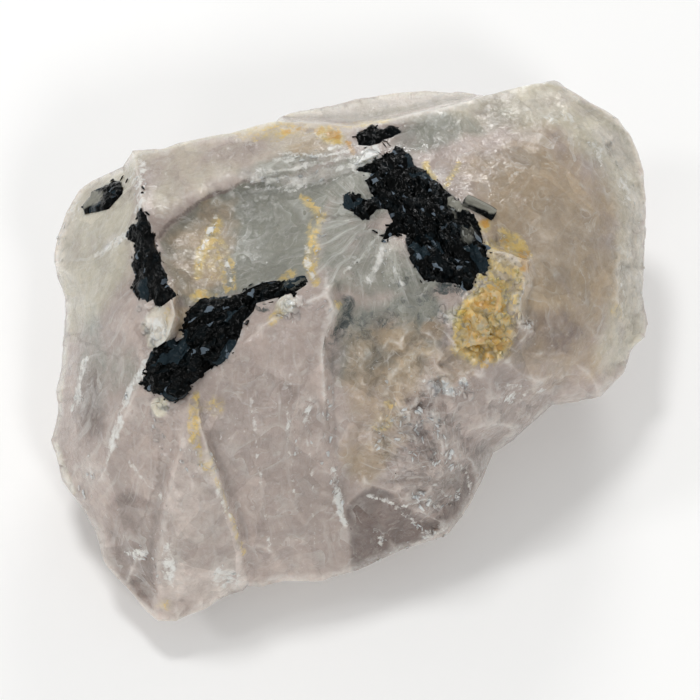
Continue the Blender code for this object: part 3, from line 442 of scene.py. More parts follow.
SLATE = {
    "areas": [
        (0.8, 0.9, [(-0.6, 6.6), (0.4, 6.2), (0.4, 3.8), (-0.2, 1.8), (-2.4, 0.8), (-2.2, 3.4),
            (-1.5, 4.4)]),
    ],
    "blobs": [
        (12.6, 7.9, 3.4, 1.7, 10, 1), (9.6, 6.8, 2, 1.2, 30, 0.5), (-13, 4.6, 2.6, 1.2, 45, 0.65),
        (-11, 5.2, 1.4, 1, 0, 0.5), (2, 2.2, 2.4, 1.4, 30, 0.35), (-14.6, -0.4, 1.1, 2, -40, 0.55),
        (2.6, 18.8, 1.4, 0.8, 0, 0.35), (6.4, 8.6, 2.8, 1.1, 30, 0.4), (0.6, -0.6, 1, 1, 0, 0.3),
        (3.6, 3.8, 4.6, 2.2, 10, 0.45), (8.6, 5.4, 5, 3.6, 0, 0.32), (12.6, 5.6, 2.2, 3, 0, 0.3),
        (2.4, 12, 5, 6, 0, 0.18),
    ],
}
# Where the stone is crushed, and threads of cracks cover it like a cobweb.
CRUMPLED = {
    "areas": [
        (2.5, 1, [(-1.5, 8), (6, 7), (12, 4), (13.5, -3), (16, -8), (15, -18), (8, -20), (1, -17),
            (-2.5, -6)]),
        (2, 0.6, [(-15, 22), (-6, 27), (1, 26.4), (8, 18), (6, 6), (-4, 8), (-5, 18)]),
    ],
    "blobs": [(-24, 3, 4, 5, 0, 0.8), (-20.5, -9, 5, 5, 0, 0.7), (-8, 5, 4, 2.6, 20, 0.8)],
}
INGREDIENTS = {
    "cream_and_rim_glow": CREAM_AND_RIM_GLOW, "smoke": SMOKE, "tan": TAN, "depth_and_shade": DEPTH_AND_SHADE, "haze_and_rim_glow": HAZE_AND_RIM_GLOW, "milk": MILK, "stain": STAIN,
    "rust": RUST, "slate": SLATE, "crumpled": CRUMPLED,
}

# Where the cracks under the surface run side by side. Each row has the softness of its edge, its
# strength, the point that its streaks run from, and its corners.
STREAKED = [
    (2, 0.5, (-13, 30), [(-20, -5), (-10, 0), (-3, 3), (-1, -8), (-1, -27), (-12, -30), (-24, -33),
        (-27, -18)]),
    (2.5, 0.9, (20, 44), [(-37, 10), (-33, 17), (-27, 14), (-26, 6), (-29, 0), (-36, 2)]),
    (2.5, 0.9, (-20, 22), [(-36, 1), (-29, 0), (-25, -2), (-24, -16), (-29, -26), (-36, -14)]),
    (2, 1, (3.7, 17), [(-5, 20), (3, 24), (8, 17), (10, 9), (3, 0), (-5, 4), (-6, 12)]),
    (1, 1, (13, -17), [(4, -6), (8, -4), (12, -6), (15, -12), (14, -22), (7, -20), (2, -14)]),
    (1.2, 1, (-60, 10), [(-15, 22.2), (-6, 27), (0, 26.4), (0.6, 23), (-6, 20.4), (-13, 20)]),
    (3, 0.3, (60, 60), [(12, 26), (26, 33), (36, 24), (36, 4), (28, -4), (21, 0), (20, 14)]),
]

# Where the face is broken into lumps, steps or splinters, for the relief.
LUMPY = {
    "areas": [(0.6, 0.7, CRUST)],
    "blobs": [
        (13, 4.4, 2.2, 2, 0, 0.9), (22, 3.4, 1.6, 1.4, 0, 0.9), (-7.8, 5.6, 2.2, 1.3, 20, 0.9),
        (11.8, -4.6, 3.4, 1.4, -12, 1), (-23.6, -7.4, 1.5, 1.7, 0, 0.8), (-24, 3.4, 2, 3.2, 0, 0.5),
    ],
}
HACKLED = {
    "areas": [
        (0.8, 0.5, CRUST),
        (1.5, 0.9, [(2, -7), (9, -4), (15, -8), (15.5, -16), (11, -22), (5, -19)]),
    ],
    "blobs": [
        (6, -2, 9, 6, 0, 0.55), (34.6, 10, 3, 16, 0, 0.5), (32, 26, 6, 4, -40, 0.4),
        (-24.4, -4, 3, 7, 20, 0.6), (-34, -4, 3, 12, 0, 0.3), (-7, 21.6, 8, 2.4, 8, 0.6),
        (-5.6, -8, 2, 4, 0, 0.6), (-19, -8, 3, 3, 0, 0.6), (-21.5, -24, 2.5, 8, 0, 0.3),
        (20, -7, 5, 4, 0, 0.5),
    ],
}


def numbers_of(mesh):
    """The places and normals of a mesh's points, as arrays."""
    count = len(mesh.vertices)
    places = np.empty(count * 3)
    normals = np.empty(count * 3)
    mesh.vertices.foreach_get("co", places)
    mesh.vertex_normals.foreach_get("vector", normals)
    return places.reshape(-1, 3), normals.reshape(-1, 3)


def added(name, data):
    """A new object with the data, in the scene."""
    made = bpy.data.objects.new(name, data)
    bpy.context.scene.collection.objects.link(made)
    return made


def refined(node, name, levels, sharp_angle):
    """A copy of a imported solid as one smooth, finer mesh that keeps the edges over the angle sharp."""
    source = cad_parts[node]
    mesh = source.data.copy()
    mesh.name = name
    work = bmesh.new()
    work.from_mesh(mesh)
    bmesh.ops.remove_doubles(work, verts=work.verts, dist=0.002 * MM)
    crease = work.edges.layers.float.get("crease_edge") or work.edges.layers.float.new("crease_edge")
    for edge in work.edges:
        turn = edge.calc_face_angle(0)
        edge[crease] = float(between(0.6, 1, turn / math.radians(sharp_angle)))
    work.to_mesh(mesh)
    work.free()
    made = added(name, mesh)
    finer = made.modifiers.new("finer", "SUBSURF")
    finer.levels = levels
    finer.render_levels = levels
    finer.boundary_smooth = "PRESERVE_CORNERS"
    bpy.context.view_layer.update()
    seen = made.evaluated_get(bpy.context.evaluated_depsgraph_get())
    fine = bpy.data.meshes.new_from_object(seen)
    made.modifiers.clear()
    made.data = fine
    fine.materials.clear()
    return made


def moved(mesh, places):
    """Puts the mesh's points at the places."""
    mesh.vertices.foreach_set("co", places.ravel())
    mesh.update()


def store(mesh, name, values):
    """Keeps a number or a place for each point, which the material reads by its name."""
    kind, field = ("FLOAT", "value") if values.ndim == 1 else ("FLOAT_VECTOR", "vector")
    layer = mesh.attributes.new(name, kind, "POINT")
    layer.data.foreach_set(field, values.astype(np.float32).ravel())


# The wall of the hollow is a soft fall under its lip, and the wedge's two long edges are worn a little.
SOFT_WALL = {
    "strokes": [
        (3, 1, [(-24.6, 13.6), (-22.4, 15.8), (-20, 18), (-17.6, 19.4), (-15, 20.4), (-11, 21.4),
            (-7, 22), (-3.6, 22.4), (-0.6, 23.2)]),
        (1.4, 0.2, [(-17.4, -8), (-16.4, -14), (-15, -19), (-13.8, -24), (-12.6, -30)]),
        (1.4, 0.2, [(-20.6, -6), (-22.2, -15.6), (-23.6, -22), (-24.4, -30)]),
    ],
}


def eased(mesh, places, share, rounds):
    """The places moved toward the mean of their neighbours, round after round, by each one's share."""
    pairs = np.empty(len(mesh.edges) * 2, dtype=np.int32)
    mesh.edges.foreach_get("vertices", pairs)
    first, second = pairs.reshape(-1, 2).T
    count = len(places)
    neighbours = np.bincount(first, minlength=count) + np.bincount(second, minlength=count)
    for _ in range(rounds):
        mean = np.empty_like(places)
        for axis in range(3):
            total = np.bincount(first, places[second, axis], count)
            total += np.bincount(second, places[first, axis], count)
            mean[:, axis] = total / neighbours
        places = places + (mean - places) * share[:, None]
    return places


def streak_places(drawing):
    """For each point its place along and across the streaks there, in millimetres, and how strong
    they are."""
    across, up = drawing.frayed(1.6, 7, 71)
    places = np.zeros((len(across), 3))
    strongest = np.zeros(len(across))
    for number, (soft, strength, source, corners) in enumerate(STREAKED):
        mask = in_area(across, up, (soft, strength, corners))
        right, high = across - source[0], up - source[1]
        reach = np.hypot(right, high)
        middle = np.hypot(corners[0][0] - source[0], corners[0][1] - source[1])
        turn = np.arctan2(high, right)
        # The last number gives each set of streaks a part of the pattern of its own.
        here = np.stack([reach, turn * middle, np.full(len(reach), 9.0 * number)], axis=1)
        taken = mask > strongest
        places[taken] = here[taken]
        strongest = np.maximum(strongest, mask)
    return places, strongest * drawing.front


# How tall the parts of the broken surface are, in millimetres, and how steeply the shards lean.
SWELL_HEIGHT = 0.13
RIPPLE_HEIGHT = 0.07
TERRACE_HEIGHT = 0.07
FLAKE_HEIGHT = 0.132
FLAKE_TILT = 0.21
LUMP_HEIGHT = 0.8
LUMP_TILT = 0.6
# How much more broken the unseen sides are, and how broken every place is at least.
BACK_BROKEN = 0.35
LEAST_BROKEN = 0.12


def tilt_of(number, away, first, second):
    """How far each point stands out, in millimetres, if each shard leans its own way."""
    leans = number - 0.5, number * 7.3 % 1 - 0.5
    return (away[:, first] * leans[0] + away[:, second] * leans[1]) / MM


def stone_relief(drawing):
    """How far the broken surface stands out, in millimetres."""
    points = drawing.points
    swell = clouds(points, 5 * MM, 4, 11) * SWELL_HEIGHT
    ripple = (0.5 - np.abs(clouds(points, 1.4 * MM, 3, 17))) * RIPPLE_HEIGHT
    steps = clouds(points, 3 * MM, 3, 23) * 5
    terrace = (np.floor(steps) + between(0.75, 1, steps - np.floor(steps))) * TERRACE_HEIGHT
    number, away = shards(points, 1.9 * MM, 41)
    flakes = (number - 0.5) * FLAKE_HEIGHT + tilt_of(number, away, 0, 2) * FLAKE_TILT
    hackled = painted(drawing, HACKLED, (0.8, 3, 31)) + BACK_BROKEN * (1 - drawing.front) + LEAST_BROKEN
    number, away = shards(points, 2.8 * MM, 57)
    finer = shards(points, 1.3 * MM, 63)[0]
    lump = (number + finer / 2) * LUMP_HEIGHT + tilt_of(number, away, 0, 1) * LUMP_TILT
    lump += clouds(points, 0.8 * MM, 2, 61) * 0.1
    lumpy = painted(drawing, LUMPY, (0.5, 2, 67))
    return swell + ripple + (terrace + flakes) * hackled + lump * lumpy


def build_stone():
    """The chunk of rose quartz, with its ingredients kept on its points."""
    stone = refined("quartz_block", "rose_quartz_stone", levels=2, sharp_angle=26)
    mesh = stone.data
    places, normals = numbers_of(mesh)
    drawing = Drawing(places, normals)
    softened = painted(drawing, SOFT_WALL, (0.2, 3, 7)) * 0.6
    moved(mesh, eased(mesh, places, softened, rounds=26))
    places, normals = numbers_of(mesh)
    # The base stays flat, so that the stone rests on it.
    off_table = between(0.3 * MM, 2.5 * MM, places[:, 2])
    places = places + normals * (stone_relief(drawing) * MM * off_table)[:, None]
    places[:, 2] = np.maximum(places[:, 2], 0)
    moved(mesh, places)
    for name, marks in INGREDIENTS.items():
        store(mesh, name, painted(drawing, marks))
    places, normals = numbers_of(mesh)
    # How far each point stands over its neighbours: the material paints ridges lighter and hollows darker
    # from it, as painted light and shade.
    even = eased(mesh, places, np.full(len(places), 0.6), rounds=14)
    store(mesh, "edge", np.clip(np.sum((places - even) * normals, axis=1) / RIDGE_HEIGHT, -1, 1))
    streak_place, streaked = streak_places(drawing)
    store(mesh, "streak_place", streak_place)
    store(mesh, "streaked", streaked)
    broken = np.maximum(painted(drawing, HACKLED), painted(drawing, LUMPY) * 0.6)
    store(mesh, "broken", np.clip(broken + 0.3 * (1 - drawing.front), 0, 1))
    mesh.shade_smooth()
    mesh.set_sharp_from_angle(angle=math.radians(38))
    mesh.materials.append(rose_quartz())
    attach(stone, "root")
    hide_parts("quartz_block")
    return stone


# The colours of the stone's ingredients. The cream and the haze colours also carry a painted glow on thin
# rims, and the clear depth colour also painted shade.
ROSE = "#ad9f97"
CREAM_WHITE_AND_GLOW = "#bcb5a3"
SMOKY = "#88887e"
WARM_TAN = "#a5937b"
CLEAR_DEPTH_AND_SHADE = "#74655e"
PALE_HAZE_AND_GLOW = "#d5cdc5"
MILKY = "#dddcd7"
PALE_STAIN = "#bbab7e"
IRON_YELLOW = "#c9ae69"
IRON_RUST = "#b88a3a"
SLATE_BLUE = "#394140"
# The colours of the tourmaline, and of the quartz that thinly covers it. The face sheen and the glint
# colours are painted highlights on a few faces.
SCHORL_BLACK = "#010202"
SCHORL_EDGE = "#080f12"
SCHORL_FACE_SHEEN = "#2b3a42"
SCHORL_GLINT = "#6f7c88"
THIN_QUARTZ = "#8b8a80"
# The colours of the sheet under the stone and of the room around it.
PAPER_WHITE = "#fbfbfa"
ROOM_WHITE = "#ffffff"


def showing(tree, name, texture, raggedness, low, high):
    """How much an ingredient shows: where it was put, with an edge that a texture makes ragged."""
    put = add_node(tree, "Attribute", out="Fac", attribute_name=name)
    shift = {0: texture, 1: raggedness, 2: -raggedness / 2}
    shift = add_node(tree, "Math", shift, operation="MULTIPLY_ADD")
    near = add_node(tree, "MapRange", {"Value": put, 1: 0, 2: 0.25})
    total = add_node(tree, "Math", {0: shift, 1: near, 2: put}, operation="MULTIPLY_ADD")
    total = {"Value": total, 1: low, 2: high}
    return add_node(tree, "MapRange", total, interpolation_type="SMOOTHSTEP")


def patches(tree, place, scale, seed, low, high):
    """1 in some patches and 0 between them, for what shows only here and there."""
    noise = {"Vector": place, "W": seed, "Scale": scale, "Detail": 2}
    noise = add_node(tree, "TexNoise", noise, noise_dimensions="4D")
    return add_node(tree, "MapRange", {"Value": noise, 1: low, 2: high})


def threads(tree, place, spacing, width, distortion, seed):
    """Thin curved threads, where light catches on the walls of old cracks."""
    crack = {
        "Vector": place, "W": seed, "Scale": 1 / spacing, "Detail": 4, "Roughness": 0.6,
        "Distortion": distortion,
    }
    crack = add_node(tree, "TexNoise", crack, noise_dimensions="4D")
    off_middle = add_node(tree, "Math", {0: crack, 1: 0.5}, operation="SUBTRACT")
    distance = add_node(tree, "Math", {0: off_middle}, operation="ABSOLUTE")
    line = add_node(tree, "MapRange", {"Value": distance, 1: 0, 2: width, 3: 1, 4: 0})
    shown = patches(tree, place, 0.7 / spacing, seed + 5, 0.45, 0.68)
    return add_node(tree, "Math", {0: line, 1: shown}, operation="MULTIPLY")


def tilted_facets(tree, place, size, steepness):
    """Flat little faces at all angles, as a broken crystal shows them, as (height, shade)."""
    cell = add_node(tree, "TexVoronoi", {"Vector": place, "Scale": 1 / size}, out="Position")
    colour = cell.node.outputs["Color"]
    away = add_node(tree, "VectorMath", {0: place, 1: cell}, operation="SUBTRACT")
    lean = add_node(tree, "VectorMath", {0: colour, 1: (0.5, 0.5, 0.5)}, operation="SUBTRACT")
    height = add_node(tree, "VectorMath", {0: away, 1: lean}, out="Value", operation="DOT_PRODUCT")
    height = add_node(tree, "Math", {0: height, 1: steepness}, operation="MULTIPLY")
    return height, add_node(tree, "SeparateColor", {"Color": colour})


def facet_rims(tree, place, size, width, seed):
    """Thin bright lines where those little faces meet, broken off here and there."""
    gap = {"Vector": place, "Scale": 1 / size}
    gap = add_node(tree, "TexVoronoi", gap, feature="DISTANCE_TO_EDGE")
    line = add_node(tree, "MapRange", {"Value": gap, 1: 0, 2: width, 3: 1, 4: 0})
    shown = patches(tree, place, 0.6 / size, seed, 0.48, 0.66)
    return add_node(tree, "Math", {0: line, 1: shown}, operation="MULTIPLY")


def fracture_fronts(tree, place, spacing, steps, seed):
    """The curved fronts at which a crack stopped and went on, as (bright lines, height): each one
    rises slowly and ends sharply."""
    field = {
        "Vector": place, "W": seed, "Scale": 1 / spacing, "Detail": 3, "Roughness": 0.5, "Distortion": 0.4,
    }
    field = add_node(tree, "TexNoise", field, noise_dimensions="4D")
    counted = add_node(tree, "Math", {0: field, 1: steps}, operation="MULTIPLY")
    rise = add_node(tree, "Math", {0: counted}, operation="FRACT")
    crest = add_node(tree, "Math", {0: rise, 1: 3}, operation="POWER")
    shown = patches(tree, place, 1.1 / spacing, seed + 3, 0.46, 0.62)
    return [add_node(tree, "Math", {0: part, 1: shown}, operation="MULTIPLY") for part in (crest, rise)]


def joined(tree, rows, operation):
    """The parts of each row multiplied with each other, and the rows joined by the operation."""
    total = 0
    for part, *factors in rows:
        for factor in factors:
            part = add_node(tree, "Math", {0: part, 1: factor}, operation="MULTIPLY")
        total = add_node(tree, "Math", {0: total, 1: part}, operation=operation)
    return total


def new_material(name):
    """A new material with its node tree and its shader."""
    made = bpy.data.materials.new(name)
    made.use_nodes = True
    return made, made.node_tree, made.node_tree.nodes["Principled BSDF"]


def rose_quartz():
    """Massive rose quartz, broken with a hammer and not polished: a cloudy body that light goes some
    millimetres into, threads of healed cracks, iron stain along the cracks, and a glassy surface."""
    made, tree, shader = new_material("rose_quartz_rough_broken")
    place = add_node(tree, "TexCoord", out="Object")
    streak_place = add_node(tree, "Attribute", out="Vector", attribute_name="streak_place")
    broken, crumpled, streaked, tone_shift, edge, stained = [
        add_node(tree, "Attribute", out="Fac", attribute_name=name)
        for name in ("broken", "crumpled", "streaked", "tone", "edge", "stain")
    ]

    # Everything under the surface follows swirls some 9 mm wide, as the flow of the healed cracks does.
    # Finer patterns are jogged about by a smaller noise.
    swirl, jitter = [
        add_node(tree, "TexNoise", {"Vector": place, "Scale": 1 / size, "Detail": 2}, out="Color")
        for size in (9 * MM, 1.2 * MM)
    ]
    pushed, jogged, nudged = [
        add_node(tree, "VectorMath", {0: noise, 1: [reach] * 3, 2: place}, operation="MULTIPLY_ADD")
        for noise, reach in ((swirl, 7 * MM), (jitter, 1.4 * MM), (jitter, 0.5 * MM))
    ]
    along = add_node(tree, "Mapping", {"Vector": streak_place, "Scale": (0.11, 1.1, 1)})
    upright = add_node(tree, "Mapping", {"Vector": nudged, "Scale": (1, 1, 0.5)})
    cloud, feather, mottle, streak, grit = [
        add_node(tree, "TexNoise", {
            "Vector": where, "Scale": 1 / size, "Detail": detail, "Roughness": rough, "Distortion": twist,
        })
        for where, size, detail, rough, twist in (
            (pushed, 6 * MM, 5, 0.62, 0), (jogged, 1.4 * MM, 4, 0.75, 1.2), (place, 0.9 * MM, 3, 0.8, 0),
            (along, 1, 5, 0.62, 0), (place, 0.5 * MM, 2, 0.6, 0),
        )
    ]
    wide_cell = add_node(tree, "TexVoronoi", {"Vector": upright, "Scale": 1 / (6 * MM)}, out="Color")
    wide_shade = add_node(tree, "SeparateColor", {"Color": wide_cell})
    large_height, large_shade = tilted_facets(tree, nudged, 2.6 * MM, 0.2)
    small_height, small_shade = tilted_facets(tree, jogged, 0.8 * MM, 0.4)
    flaky = add_node(tree, "Math", {0: small_shade, 1: 0.45, 2: -0.475}, operation="MULTIPLY_ADD")
    flaky = add_node(tree, "Math", {0: feather, 1: 1.5, 2: flaky}, operation="MULTIPLY_ADD")

    # The stone's own colours are cloudy, and among them are a painted glow on the thin rims and painted
    # shade on faces turned from the light. Buried tourmaline shows as slate, and the iron sits in the
    # cracks, as a soft tint and as flakes.
    body = linear(ROSE)
    for name, colour, texture, raggedness, low, high in (
        ("cream_and_rim_glow", CREAM_WHITE_AND_GLOW, cloud, 1.4, 0.15, 0.85), ("smoke", SMOKY, cloud, 1.4, 0.15, 0.85),
        ("tan", WARM_TAN, cloud, 1.4, 0.15, 0.85), ("depth_and_shade", CLEAR_DEPTH_AND_SHADE, cloud, 1.4, 0.25, 0.9),
        ("haze_and_rim_glow", PALE_HAZE_AND_GLOW, cloud, 1.4, 0.1, 1.3), ("slate", SLATE_BLUE, flaky, 1.5, 0.2, 1.15),
        ("stain", PALE_STAIN, flaky, 0.7, 0.05, 1.1), ("stain", IRON_YELLOW, flaky, 1.7, 0.4, 1.2),
        ("rust", IRON_RUST, flaky, 1.2, 0.2, 1.1),
    ):
        amount = showing(tree, name, texture, raggedness, low, high)
        layers = {"Factor": amount, 6: body, 7: linear(colour)}
        body = add_node(tree, "Mix", layers, out=2, data_type="RGBA")

    # The body's light and dark: clouds and fine mottling in its tone, and a painted shade for each little
    # facet, as if each one were lit at its own angle. Ridges are painted lighter and hollows darker, as
    # light and shade fall on them, and each grain has a tone of its own.
    small_part = add_node(tree, "MapRange", {"Value": broken, 3: 0.06, 4: 0.36})
    shade = add_node(tree, "Math", {0: small_shade, 1: small_part, 2: 1}, operation="MULTIPLY_ADD")
    shade = add_node(tree, "Math", {0: small_part, 1: -0.5, 2: shade}, operation="MULTIPLY_ADD")
    for source, low, high, dark, light in (
        (cloud, 0.25, 0.75, 0.88, 1.12), (mottle, 0.3, 0.7, 0.93, 1.07), (large_shade, 0, 1, 0.93, 1.07),
        (wide_shade, 0, 1, 0.88, 1.12), (tone_shift, -1, 1, 0.8, 1.2), (edge, -0.15, -1, 1, 0.8),
        (edge, 0, 1, 1, 1.18),
    ):
        tone = add_node(tree, "MapRange", {"Value": source, 1: low, 2: high, 3: dark, 4: light})
        shade = add_node(tree, "Math", {0: shade, 1: tone}, operation="MULTIPLY")
    body = add_node(tree, "VectorMath", {0: body, "Scale": shade}, operation="SCALE")

    # The milky veils over it. The strongest one shows at each place, and less of it where it's stained.
    # The fine white flecks are a painted sparkle of tiny grains catching the light, and the veil on the
    # ridges is a painted glow where light shines through them.
    cobweb, rimmed, wisps, streak_veil, flecks, grained, thin, unstained = [
        add_node(tree, "MapRange", {"Value": source, 1: low, 2: high, 3: weak, 4: strong})
        for source, low, high, weak, strong in (
            (crumpled, 0, 1, 0.12, 0.22), (broken, 0, 1, 0.12, 0.5), (feather, 0.56, 0.78, 0, 1),
            (streak, 0.52, 0.7, 0, 1), (mottle, 0.66, 0.74, 0, 1), (feather, 0.3, 0.65, 0.25, 1),
            (edge, 0.2, 1, 0, 1), (stained, 0, 1, 1, 0.3),
        )
    ]
    wide_lines, wide_steps = fracture_fronts(tree, pushed, 9 * MM, 7, 21)
    close_lines, close_steps = fracture_fronts(tree, pushed, 3.5 * MM, 6, 31)
    veil = joined(tree, [
        (threads(tree, pushed, 3 * MM, 0.02, 0.6, 2), cobweb),
        (threads(tree, jogged, 1.6 * MM, 0.035, 0.3, 11), cobweb),
        (threads(tree, pushed, 5.5 * MM, 0.012, 0.2, 17), cobweb),
        (facet_rims(tree, nudged, 1.8 * MM, 0.05, 41), rimmed),
        (facet_rims(tree, jogged, 0.9 * MM, 0.09, 47), rimmed),
        (thin, grained, 0.6), (wide_lines, grained, 0.5), (close_lines, grained, 0.45),
        (streak_veil, streaked, 0.5), (wisps, 0.35), (flecks, 0.4),
    ], "MAXIMUM")
    veil = add_node(tree, "Math", {0: veil, 1: unstained}, operation="MULTIPLY")
    along_streaks = add_node(tree, "Math", {0: streaked, 1: 0.6}, operation="MULTIPLY")
    milky = add_node(tree, "Mix", {"Factor": along_streaks, 2: flaky, 3: streak}, data_type="FLOAT")
    milk = showing(tree, "milk", milky, 1.9, 0.35, 1.1)
    for amount in (veil, milk):
        layers = {"Factor": amount, 6: body, 7: linear(MILKY)}
        body = add_node(tree, "Mix", layers, out=2, data_type="RGBA")

    # The surface in metres: fine grit, ridges along the streaks, steps at the fronts, and the facets,
    # tallest where the face is broken.
    gloss = add_node(tree, "MapRange", {"Value": grit, 1: 0.3, 2: 0.7, 3: 0.07, 4: 0.26})
    small_part = add_node(tree, "MapRange", {"Value": broken, 3: 0.35, 4: 1})
    height = joined(tree, [
        (grit, 0.05 * MM), (streak, streaked, 0.3 * MM), (large_height,), (wide_steps, 0.14 * MM),
        (close_steps, 0.07 * MM), (small_height, small_part), (feather, 0.12 * MM),
    ], "ADD")
    bump = add_node(tree, "Bump", {"Height": height, "Distance": 1, "Strength": 1})
    tree.links.new(body, shader.inputs["Base Color"])
    tree.links.new(gloss, shader.inputs["Roughness"])
    tree.links.new(bump, shader.inputs["Normal"])
    shader.inputs["IOR"].default_value = 1.544
    shader.inputs["Subsurface Weight"].default_value = 0.75
    shader.inputs["Subsurface Radius"].default_value = (1, 0.86, 0.74)
    shader.inputs["Subsurface Scale"].default_value = 1.5 * MM
    return made


def schorl():
    """Black tourmaline: nearly opaque, glassy, and broken into bundles of thin columns, so that each
    little face shines at its own angle. Where quartz still covers it, it looks grey."""
    made, tree, shader = new_material("schorl_broken_columns")
    place = add_node(tree, "Attribute", out="Vector", attribute_name="column_place")
    veiled = add_node(tree, "Attribute", out="Fac", attribute_name="veiled")
    jitter = add_node(tree, "TexNoise", {"Vector": place, "Scale": 1.1, "Detail": 4}, out="Color")
    jogged = {0: jitter, 1: (0.9, 0.9, 0.9), 2: place}
    jogged = add_node(tree, "VectorMath", jogged, operation="MULTIPLY_ADD")
    stretched = add_node(tree, "Mapping", {"Vector": jogged, "Scale": (0.4, 1, 1)})
    large_height, large_shade = tilted_facets(tree, stretched, 1.3, 0.5)
    small_height, small_shade = tilted_facets(tree, stretched, 0.42, 0.65)
    dark = add_node(tree, "ValToRGB", {"Fac": small_shade})
    ramp = dark.node.color_ramp
    ramp.elements[0].position = 0.5
    ramp.elements[0].color = linear(SCHORL_BLACK)
    ramp.elements[1].color = linear(SCHORL_EDGE)
    cover = add_node(tree, "Math", {0: small_shade, 1: 0.5, 2: veiled}, operation="MULTIPLY_ADD")
    colour = dark
    # Over a tone that differs from face to face, a few paler faces and small glints are painted
    # highlights, and thin quartz greys it where it covers it.
    for source, low, high, most, shine in (
        (large_shade, 0.88, 0.9, 0.5, SCHORL_FACE_SHEEN), (small_shade, 0.96, 0.97, 0.7, SCHORL_GLINT),
        (cover, 0.5, 1.2, 1, THIN_QUARTZ),
    ):
        amount = add_node(tree, "MapRange", {"Value": source, 1: low, 2: high, 4: most})
        layers = {"Factor": amount, 6: colour, 7: linear(shine)}
        colour = add_node(tree, "Mix", layers, out=2, data_type="RGBA")
    gloss = add_node(tree, "MapRange", {"Value": small_shade, 3: 0.06, 4: 0.26})
    height = joined(tree, [(large_height, MM), (small_height, MM)], "ADD")
    bump = add_node(tree, "Bump", {"Height": height, "Distance": 1, "Strength": 1})
    tree.links.new(colour, shader.inputs["Base Color"])
    tree.links.new(gloss, shader.inputs["Roughness"])
    tree.links.new(bump, shader.inputs["Normal"])
    shader.inputs["IOR"].default_value = 1.64
    shader.inputs["Specular IOR Level"].default_value = 0.06
    return made


# Each crystal: the way its columns run on the drawing plane, their length and width in millimetres,
# and how high their broken ends stand.
CRYSTALS = {
    "tourmaline_mass": ((0.46, -0.89), 2.8, 1.1, 0.5),
    "tourmaline_front_crystal": ((0.82, 0.57), 2.8, 1.0, 0.45),
    "tourmaline_left_blade": ((0.33, -0.94), 2.4, 0.7, 0.2),
    "tourmaline_left_chip": ((0.84, 0.54), 1.8, 0.6, 0.1),
    "tourmaline_top_grain": ((0.9, 0.4), 1.6, 0.8, 0.15),
    "tourmaline_small_prism": ((0.9, -0.43), 3.0, 0.35, 0.03),
}

# Where thin quartz still covers the tourmaline. Over 1 it covers the shiny faces too.
VEILED = {
    "blobs": [
        (-32.2, 18.6, 2.4, 1.2, 30, 1), (14.6, 14.2, 1.3, 1.5, 0, 0.5), (12.8, 17.4, 1.6, 0.5, -60, 0.4),
        (-6.4, 8.4, 3, 1, 20, 0.35), (-12.4, 1.2, 1.6, 2.6, -40, 0.5), (1, 20.6, 2.4, 1, 0, 0.3),
    ],
    "strokes": [(1, 1.8, [(13, 20), (18.8, 17.5)]), (0.8, 1.6, [(12.8, 18.4), (16.4, 16.8)])],
}


def build_crystal(node, look):
    """A tourmaline crystal whose surface is a bundle of broken columns, wide enough to fill its pocket."""
    along, length, width, step = CRYSTALS[node]
    made = refined(node, node.replace("tourmaline", "schorl"), levels=3, sharp_angle=60)
    mesh = made.data
    places, normals = numbers_of(mesh)
    drawing = Drawing(places, normals)
    run = way_of(*along).normalized()
    side = TOWARD.cross(run)
    column_place = np.stack([places @ np.array(way) / MM for way in (run, side, TOWARD)], axis=1)
    number, away = shards(column_place / (length, width, width), 1, 5)
    tilts = [(number * factor % 1 - 0.5) * reach for factor, reach in ((17.3, 1.6), (29.7, 1.8))]
    finer = shards(column_place / (0.35 * length, 0.3 * width, width), 1, 9)[0]
    facet = number - 0.5 + away[:, 0] * tilts[0] + away[:, 1] * tilts[1] + (finer - 0.5) * 0.45
    cover = between(-0.2, 0.5, 0.8 - drawing.facing) * POCKET_COVER
    shift = normals * (facet * step * drawing.front + cover)[:, None]
    # The outline is ragged. Only the small prism is clean.
    if node != "tourmaline_small_prism":
        for way, size, amount, seed in (
            (run, 1.6, 0.35, 3), (side, 1.6, 0.3, 13), (run, 0.6, 0.25, 23), (side, 0.6, 0.22, 33),
        ):
            shift += clouds(places, size * MM, 2, seed)[:, None] * np.array(way) * amount
    moved(mesh, places + shift * MM)
    store(mesh, "column_place", column_place)
    store(mesh, "veiled", painted(drawing, VEILED))
    mesh.shade_smooth()
    mesh.set_sharp_from_angle(angle=math.radians(24))
    mesh.materials.append(look)
    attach(made, "root")
    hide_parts(node)
    return made


def surface_of(stone):
    """The stone as a tree in which sight lines can be followed."""
    mesh = stone.data
    corners = [vertex.co for vertex in mesh.vertices]
    return BVHTree.FromPolygons(corners, [face.vertices for face in mesh.polygons])


def seen_spot(surface, across, up):
    """The place and the outward direction of the stone behind a point of the drawing plane."""
    drawn = DRAWING_MIDDLE + way_of(across, up) * MM
    place, normal, _, _ = surface.ray_cast(EYE, (drawn - EYE).normalized())
    return place, normal


